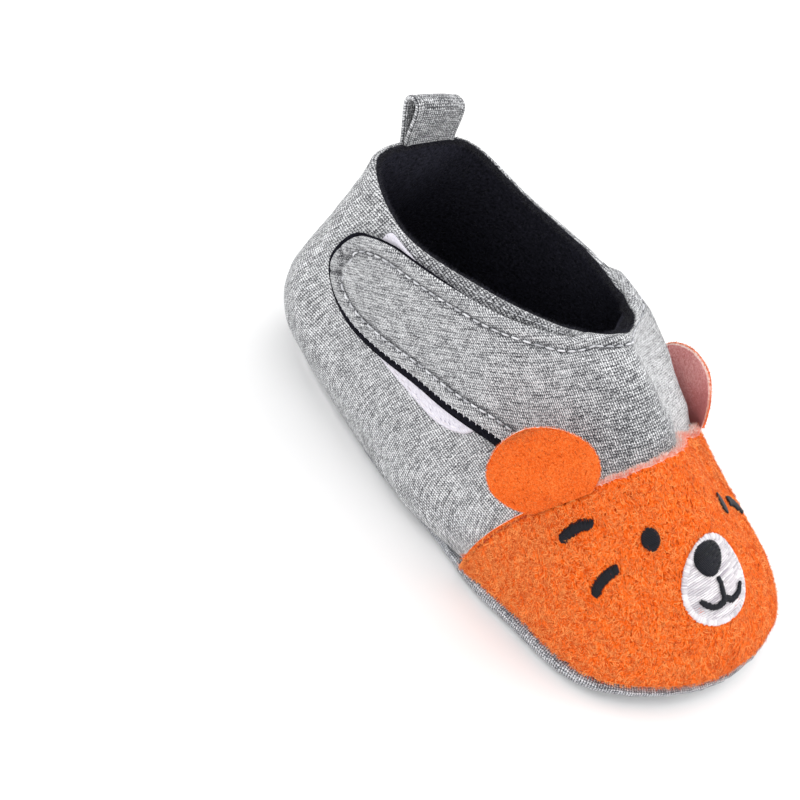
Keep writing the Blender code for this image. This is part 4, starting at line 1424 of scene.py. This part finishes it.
def nap_ear(name):
    """Short fibres over an ear's front, and frayed ones round its edge."""
    random = np.random.default_rng(71 + len(name))
    count, rim = 5200, 1500
    across = np.concatenate([random.uniform(-0.97, 0.97, count), random.choice([-1.0, 1.0], rim)])
    angles = [random.uniform(EAR_LOWEST, 1.45, count), random.uniform(EAR_LOWEST + 0.1, 1.5, rim)]
    angles = np.concatenate(angles)
    root, front = ear_sheet(name, across, angles)
    edge = np.abs(across) == 1.0
    _, chord, grow, _ = ear_frame(name)
    flat = towards(random.uniform(0, 2 * math.pi, len(across)), chord, grow)
    outward = (across * np.cos(angles))[:, None] * chord + np.sin(angles)[:, None] * grow
    heading = np.where(edge[:, None], outward + 0.8 * random.normal(size=flat.shape), flat + 0.25 * front)
    length = np.where(edge, random.uniform(0.2, 0.5, len(edge)), random.uniform(0.3, 0.7, len(edge)))
    lift = np.where(edge, random.uniform(-0.35, 0.35, len(edge)), EAR_HALF - 0.03)
    hairs = hair(root + lift[:, None] * front, heading, random.normal(size=flat.shape), length, EAR_HAIR,
                 random.normal(0, 0.6, len(edge)))
    made = nap(name + "_nap", "orange_nap", hairs, np.clip(random.normal(0.5, 0.22, len(edge)), 0, 1))


# Pull loop

LOOP_SEWN = 0.6


def loop_path(steps):
    """Middle line of the folded strip, side on: from its front foot over the top to its back foot."""
    shoulder = LOOP_HEIGHT - LOOP_TOP_RADIUS
    rise = np.linspace(0, shoulder, steps)
    half = mix(LOOP_FOOT, LOOP_TOP_RADIUS, blend(rise, 0, shoulder)) - LOOP_STRIP / 2
    arc = np.linspace(0, math.pi, steps)[1:-1]
    radius = LOOP_TOP_RADIUS - LOOP_STRIP / 2
    top = np.stack([radius * np.cos(arc), shoulder + radius * np.sin(arc)], -1)
    front = np.stack([half, rise], -1)
    return np.concatenate([front, top, front[::-1] * np.array([-1, 1])])


def make_loop():
    """The pull loop: one folded jersey strip with soft edges, leaning back, its foot sewn in."""
    path = loop_path(18)
    normal = np.gradient(path, axis=0)
    normal = unit(np.stack([normal[:, 1], -normal[:, 0]], -1))
    share = spread(40)
    stations = mix(*LOOP_SPAN, share)
    climb = mix(*LOOP_CLIMB, share) + LOOP_SEWN / LOOP_HEIGHT
    seat = skin(stations, 1.0, -WALL / 2)
    rim = np.maximum(skin(stations, 1.0, 0.0)[:, 2], skin(stations, 1.0, -WALL)[:, 2])
    seat[:, 2] = rim + GAP + LOOP_FOOT * math.sin(LOOP_LEAN) - LOOP_SEWN
    forward = np.array([math.cos(LOOP_LEAN), 0.0, math.sin(LOOP_LEAN)])
    up = np.array([-math.sin(LOOP_LEAN), 0.0, math.cos(LOOP_LEAN)])
    width = run_of(seat)
    side = np.minimum(width, width[-1] - width)
    half = round_edge(side, LOOP_STRIP) - 0.14 * hump(side, 1.7, 0.2) + 0.08 * hump(side, 0.9, 0.4)
    half[0], half[-1] = 0, 0
    sheets = []
    for sign in (1, -1):
        flat = path[:, None] + sign * normal[:, None] * half[None, :, None]
        sheets.append(seat[None] + flat[..., :1] * forward + flat[..., 1:] * climb[:, None] * up)
    uv = np.stack(np.broadcast_arrays(width[None, :], run_of(path)[:, None]), -1)
    # Both sides of the loop are drawn darker all over: painted shade.
    made = both_sides("loop_jersey", sheets[0], sheets[1], ["grey_jersey"], uv, None, (-0.12, -0.12))
    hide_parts("pull_loop")


# Embroidery

THREAD_STEPS = 7
# Height of the threads over the cap, and of one layer over the next
THREAD_LIFT = 0.22
LAYER_LIFT = 0.42
STROKE_PITCH = 0.26


def patch_frame(patch):
    """Centre on the cap and unit axes of a patch, across and down."""
    centre = skin(patch.u, patch.v, CAP_FACE)
    face = normals(patch.u, patch.v)
    down = last(patch.u, patch.v - 0.01) - last(patch.u, patch.v)
    down = unit(down - face * down.dot(face))
    side = np.cross(face, down)
    turn = math.radians(patch.turn)
    c, s = math.cos(turn), math.sin(turn)
    return centre, side * c + down * s, down * c - side * s


def patch_width(patch, y):
    """Half width of a patch at shares y of its half height, from its top to its bottom."""
    return patch.half_wide * np.sqrt(np.clip(1 - y * y, 0, 1)) * (1 + patch.egg * y)


def guess_place(targets):
    """A place on the front of the cap to start the search from, for each target."""
    u, v = np.meshgrid(np.linspace(4.4, 8.1, 70), np.linspace(0.15, 0.65, 20), indexing="ij")
    known = last(u, v).reshape(-1, 3)
    flat = targets.reshape(-1, 3)
    chunks = np.array_split(flat, 1 + len(flat) // 400)
    best = np.concatenate([np.argmin(((chunk[:, None] - known) ** 2).sum(-1), 1) for chunk in chunks])
    shape = targets.shape[:-1]
    return u.ravel()[best].reshape(shape), v.ravel()[best].reshape(shape)


def sew(starts, ends, lift, arch, radius):
    """Straight threads between points near the cap, laid on its surface: points, faces and shades."""
    share = np.linspace(0, 1, THREAD_STEPS)
    targets = mix(starts[:, None], ends[:, None], share[:, None])
    u, v = nearest_place(targets, *guess_place(targets))
    bow = arch * np.sin(math.pi * share) ** 0.6
    paths = skin(u, v, lift + bow - 0.12)
    thick = radius * (0.75 + 0.25 * np.sin(math.pi * share))
    points, faces = tubes(paths, normals(u, v), thick, THREAD_SIDES)
    shade = np.clip(RANDOM.normal(0.6, 0.2, len(starts)), 0, 1)
    return points, faces, np.repeat(shade, THREAD_STEPS * THREAD_SIDES)


def join(parts):
    """One set of points, faces and shades from several."""
    points, faces, shades, skip = [], [], [], 0
    for part_points, part_faces, part_shade in parts:
        points.append(part_points)
        faces += [[i + skip for i in face] for face in part_faces]
        shades.append(part_shade)
        skip += len(part_points)
    return np.concatenate(points), faces, np.concatenate(shades)


def patch_lift(layer):
    return CAP_FACE + THREAD_LIFT + layer * LAYER_LIFT


def fill_rows(patch, slope, pitch, longest, lift, radius, shrink=1.0):
    """Rows of fill stitches across a patch, broken into lengths like bricks."""
    centre, wide, tall = patch_frame(patch)
    starts, ends = [], []
    reach = patch.half_tall * 1.25
    lean = math.tan(math.radians(slope))
    x = np.linspace(-patch.half_wide * 1.3, patch.half_wide * 1.3, 600)
    for k, offset in enumerate(np.arange(-reach, reach, pitch)):
        share = (offset - lean * x) / (patch.half_tall * shrink)
        inside = (np.abs(share) < 1) & (np.abs(x) < shrink * patch_width(patch, np.clip(share, -1, 1)))
        if inside.sum() < 4:
            continue
        first, end = x[inside][0], x[inside][-1]
        cuts = np.arange(first + longest * (0.35 + 0.65 * ((k * 0.37) % 1.0)), end - 0.5, longest)
        cuts = [first, *cuts, end]
        for a, b in zip(cuts[:-1], cuts[1:]):
            starts.append(centre + a * wide + (offset - lean * a) * tall)
            ends.append(centre + b * wide + (offset - lean * b) * tall)
    return sew(np.array(starts), np.array(ends), lift, 0.10, radius)


def border_threads(patch, wide_border, pitch, lift, radius):
    """Satin border: threads across the outline, side by side."""
    centre, wide, tall = patch_frame(patch)
    angle = np.linspace(0, 2 * math.pi, 721)
    x = patch.half_wide * np.cos(angle) * (1 + patch.egg * np.sin(angle))
    y = patch.half_tall * np.sin(angle)
    even = resample(np.stack([x, y], -1), pitch)[:-1]
    heading = unit(np.roll(even, -1, 0) - np.roll(even, 1, 0))
    inward = np.stack([-heading[:, 1], heading[:, 0]], -1)
    ragged = RANDOM.uniform(-0.15, 0.15, (len(even), 2))
    outer = even - inward * (0.12 + ragged[:, :1])
    inner = even + inward * (wide_border + ragged[:, 1:])
    axes = np.stack([wide, tall])
    return sew(centre + outer @ axes, centre + inner @ axes, lift, 0.26, radius)


def backing(patch, lift, grow=0.0):
    """A thin crowned sheet under a patch's threads."""
    centre, wide, tall = patch_frame(patch)
    angle = np.linspace(0, 2 * math.pi, 61)[:, None]
    share = np.array([0.0, 0.35, 0.7, 0.93, 1.0, 1.0])
    drop = np.array([0.0, 0.0, 0.0, 0.02, 0.12, 0.4])
    x = (patch.half_wide + grow) * np.cos(angle) * (1 + patch.egg * np.sin(angle)) * share
    y = (patch.half_tall + grow) * np.sin(angle) * share
    targets = centre + x[..., None] * wide + y[..., None] * tall
    u, v = nearest_place(targets, *guess_place(targets))
    points = skin(u, v, lift - drop)
    return points.reshape(-1, 3), grid_faces(*points.shape[:2]), np.full(points.size // 3, 0.35)


def show_threads(name, parts, finish):
    points, faces, shade = join(parts)
    made = piece(name + "_threads", points, faces, [finish], shade=shade)
    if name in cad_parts:
        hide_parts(name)


def make_patches():
    """The muzzle, nose and eyes in thread."""
    muzzle = PATCHES["muzzle"]
    lift = patch_lift(0)
    show_threads("muzzle", [
        backing(muzzle, lift - 0.06),
        fill_rows(muzzle, 12.0, pitch=0.5, longest=3.6, lift=lift + 0.04, radius=0.24, shrink=0.93),
        border_threads(muzzle, wide_border=1.25, pitch=0.34, lift=lift + 0.10, radius=0.18),
    ], "white_thread")
    for name, slope in (("nose", 14.0), ("eye_right", 8.0), ("eye_left", -8.0)):
        patch = PATCHES[name]
        lift = patch_lift(patch.layer)
        rows = fill_rows(patch, slope, pitch=0.3, longest=9.0, lift=lift + 0.08, radius=0.18)
        show_threads(name, [backing(patch, lift - 0.05, -0.15), rows], "navy_thread")


def stroke_line(stroke):
    """Middle line of a stroke on the cap and its places, at even steps."""
    places = smooth_rows(np.array(stroke.places), 24)
    points = skin(places[:, 0], places[:, 1], CAP_FACE)
    both = resample(np.concatenate([points, places], -1), 0.05)
    return both[:, :3], both[:, 3:]


def make_strokes():
    """The cheek marks and the mouth: satin threads across a curved line, with ragged ends."""
    for name, stroke in STROKES.items():
        line, places = stroke_line(stroke)
        run = run_of(line)
        at = np.arange(0, run[-1], STROKE_PITCH)
        middle = along_path(at, run, line)
        u, v = along_path(at, run, places).T
        heading = unit(np.gradient(middle, axis=0))
        across = np.cross(normals(u, v), heading) + 0.25 * heading
        half = stroke.half * (1 - 0.35 * np.abs(2 * at / run[-1] - 1) ** 6)
        ragged = RANDOM.uniform(-0.22, 0.22, (len(at), 2)) * min(1.0, stroke.half)
        starts = middle + across * (half + ragged[:, 0])[:, None]
        ends = middle - across * (half + ragged[:, 1])[:, None]
        show_threads(name, [sew(starts, ends, patch_lift(stroke.layer) + 0.08, 0.28, 0.17)], "navy_thread")


# Stage and camera, placed in the last's coordinates as the shoe is

CAMERA_EYE = (227.33, -322.50, 340.74)
CAMERA_TARGET = (41.7, -27.9, 25.0)
CAMERA_ROLL = math.radians(22.8)
CAMERA_LENS = 106.6
SENSOR = 36.0


def make_camera():
    """The photograph's view of the shoe, rolled."""
    eye, target = (Vector((np.array(place) + SHIFT) * MM) for place in (CAMERA_EYE, CAMERA_TARGET))
    back = (eye - target).normalized()
    level = Vector((0, 0, 1)).cross(back).normalized()
    right = math.cos(CAMERA_ROLL) * level + math.sin(CAMERA_ROLL) * back.cross(level)
    data = bpy.data.cameras.new("camera")
    data.lens = CAMERA_LENS
    data.sensor_width = SENSOR
    data.sensor_fit = "HORIZONTAL"
    data.clip_start = 0.01
    camera = show("camera", data)
    rotation = Matrix((right, back.cross(right), back)).transposed()
    camera.matrix_world = Matrix.Translation(eye) @ rotation.to_4x4()
    bpy.context.scene.camera = camera


Lamp = namedtuple("Lamp", "place size power")
LAMPS = {
    "key": Lamp((0.05, 0.30, 0.95), 0.9, 2.5),
    "front": Lamp((0.60, -0.70, 0.45), 0.8, 2.5),
    "heel": Lamp((-0.85, -0.35, 0.45), 0.8, 3.0),
    "side": Lamp((0.30, 0.90, 0.50), 0.8, 3.5),
}
SKY = 0.90
FLOOR_SIDE = 3.0


def make_stage():
    """Pale floor, soft light from all round, and four large lamps."""
    s = FLOOR_SIDE
    mesh = bpy.data.meshes.new("floor")
    mesh.from_pydata([(-s, -s, 0), (s, -s, 0), (s, s, 0), (-s, s, 0)], [], [(0, 1, 2, 3)])
    mesh.materials.append(FINISHES["pale_floor"])
    floor = show("floor", mesh)
    for name, lamp in LAMPS.items():
        data = bpy.data.lights.new(name, "AREA")
        data.shape = "DISK"
        data.size = lamp.size
        data.energy = lamp.power
        made = show(name, data)
        made.location = lamp.place
        made.rotation_euler = Vector(lamp.place).to_track_quat("Z", "Y").to_euler()
    world = bpy.data.worlds.new("studio")
    world.use_nodes = True
    sky = world.node_tree.nodes["Background"]
    sky.inputs["Color"].default_value = (1.0, 1.0, 1.0, 1.0)
    sky.inputs["Strength"].default_value = SKY
    bpy.context.scene.world = world
    bpy.context.scene.view_settings.view_transform = "Standard"


make_camera()
make_stage()
make_sole()
make_insole()
make_upper()
make_lining()
make_tape()
make_strap()
stitch_collar()
make_cap()
for ear_name in EARS:
    make_ear(ear_name)
make_loop()
make_patches()
make_strokes()
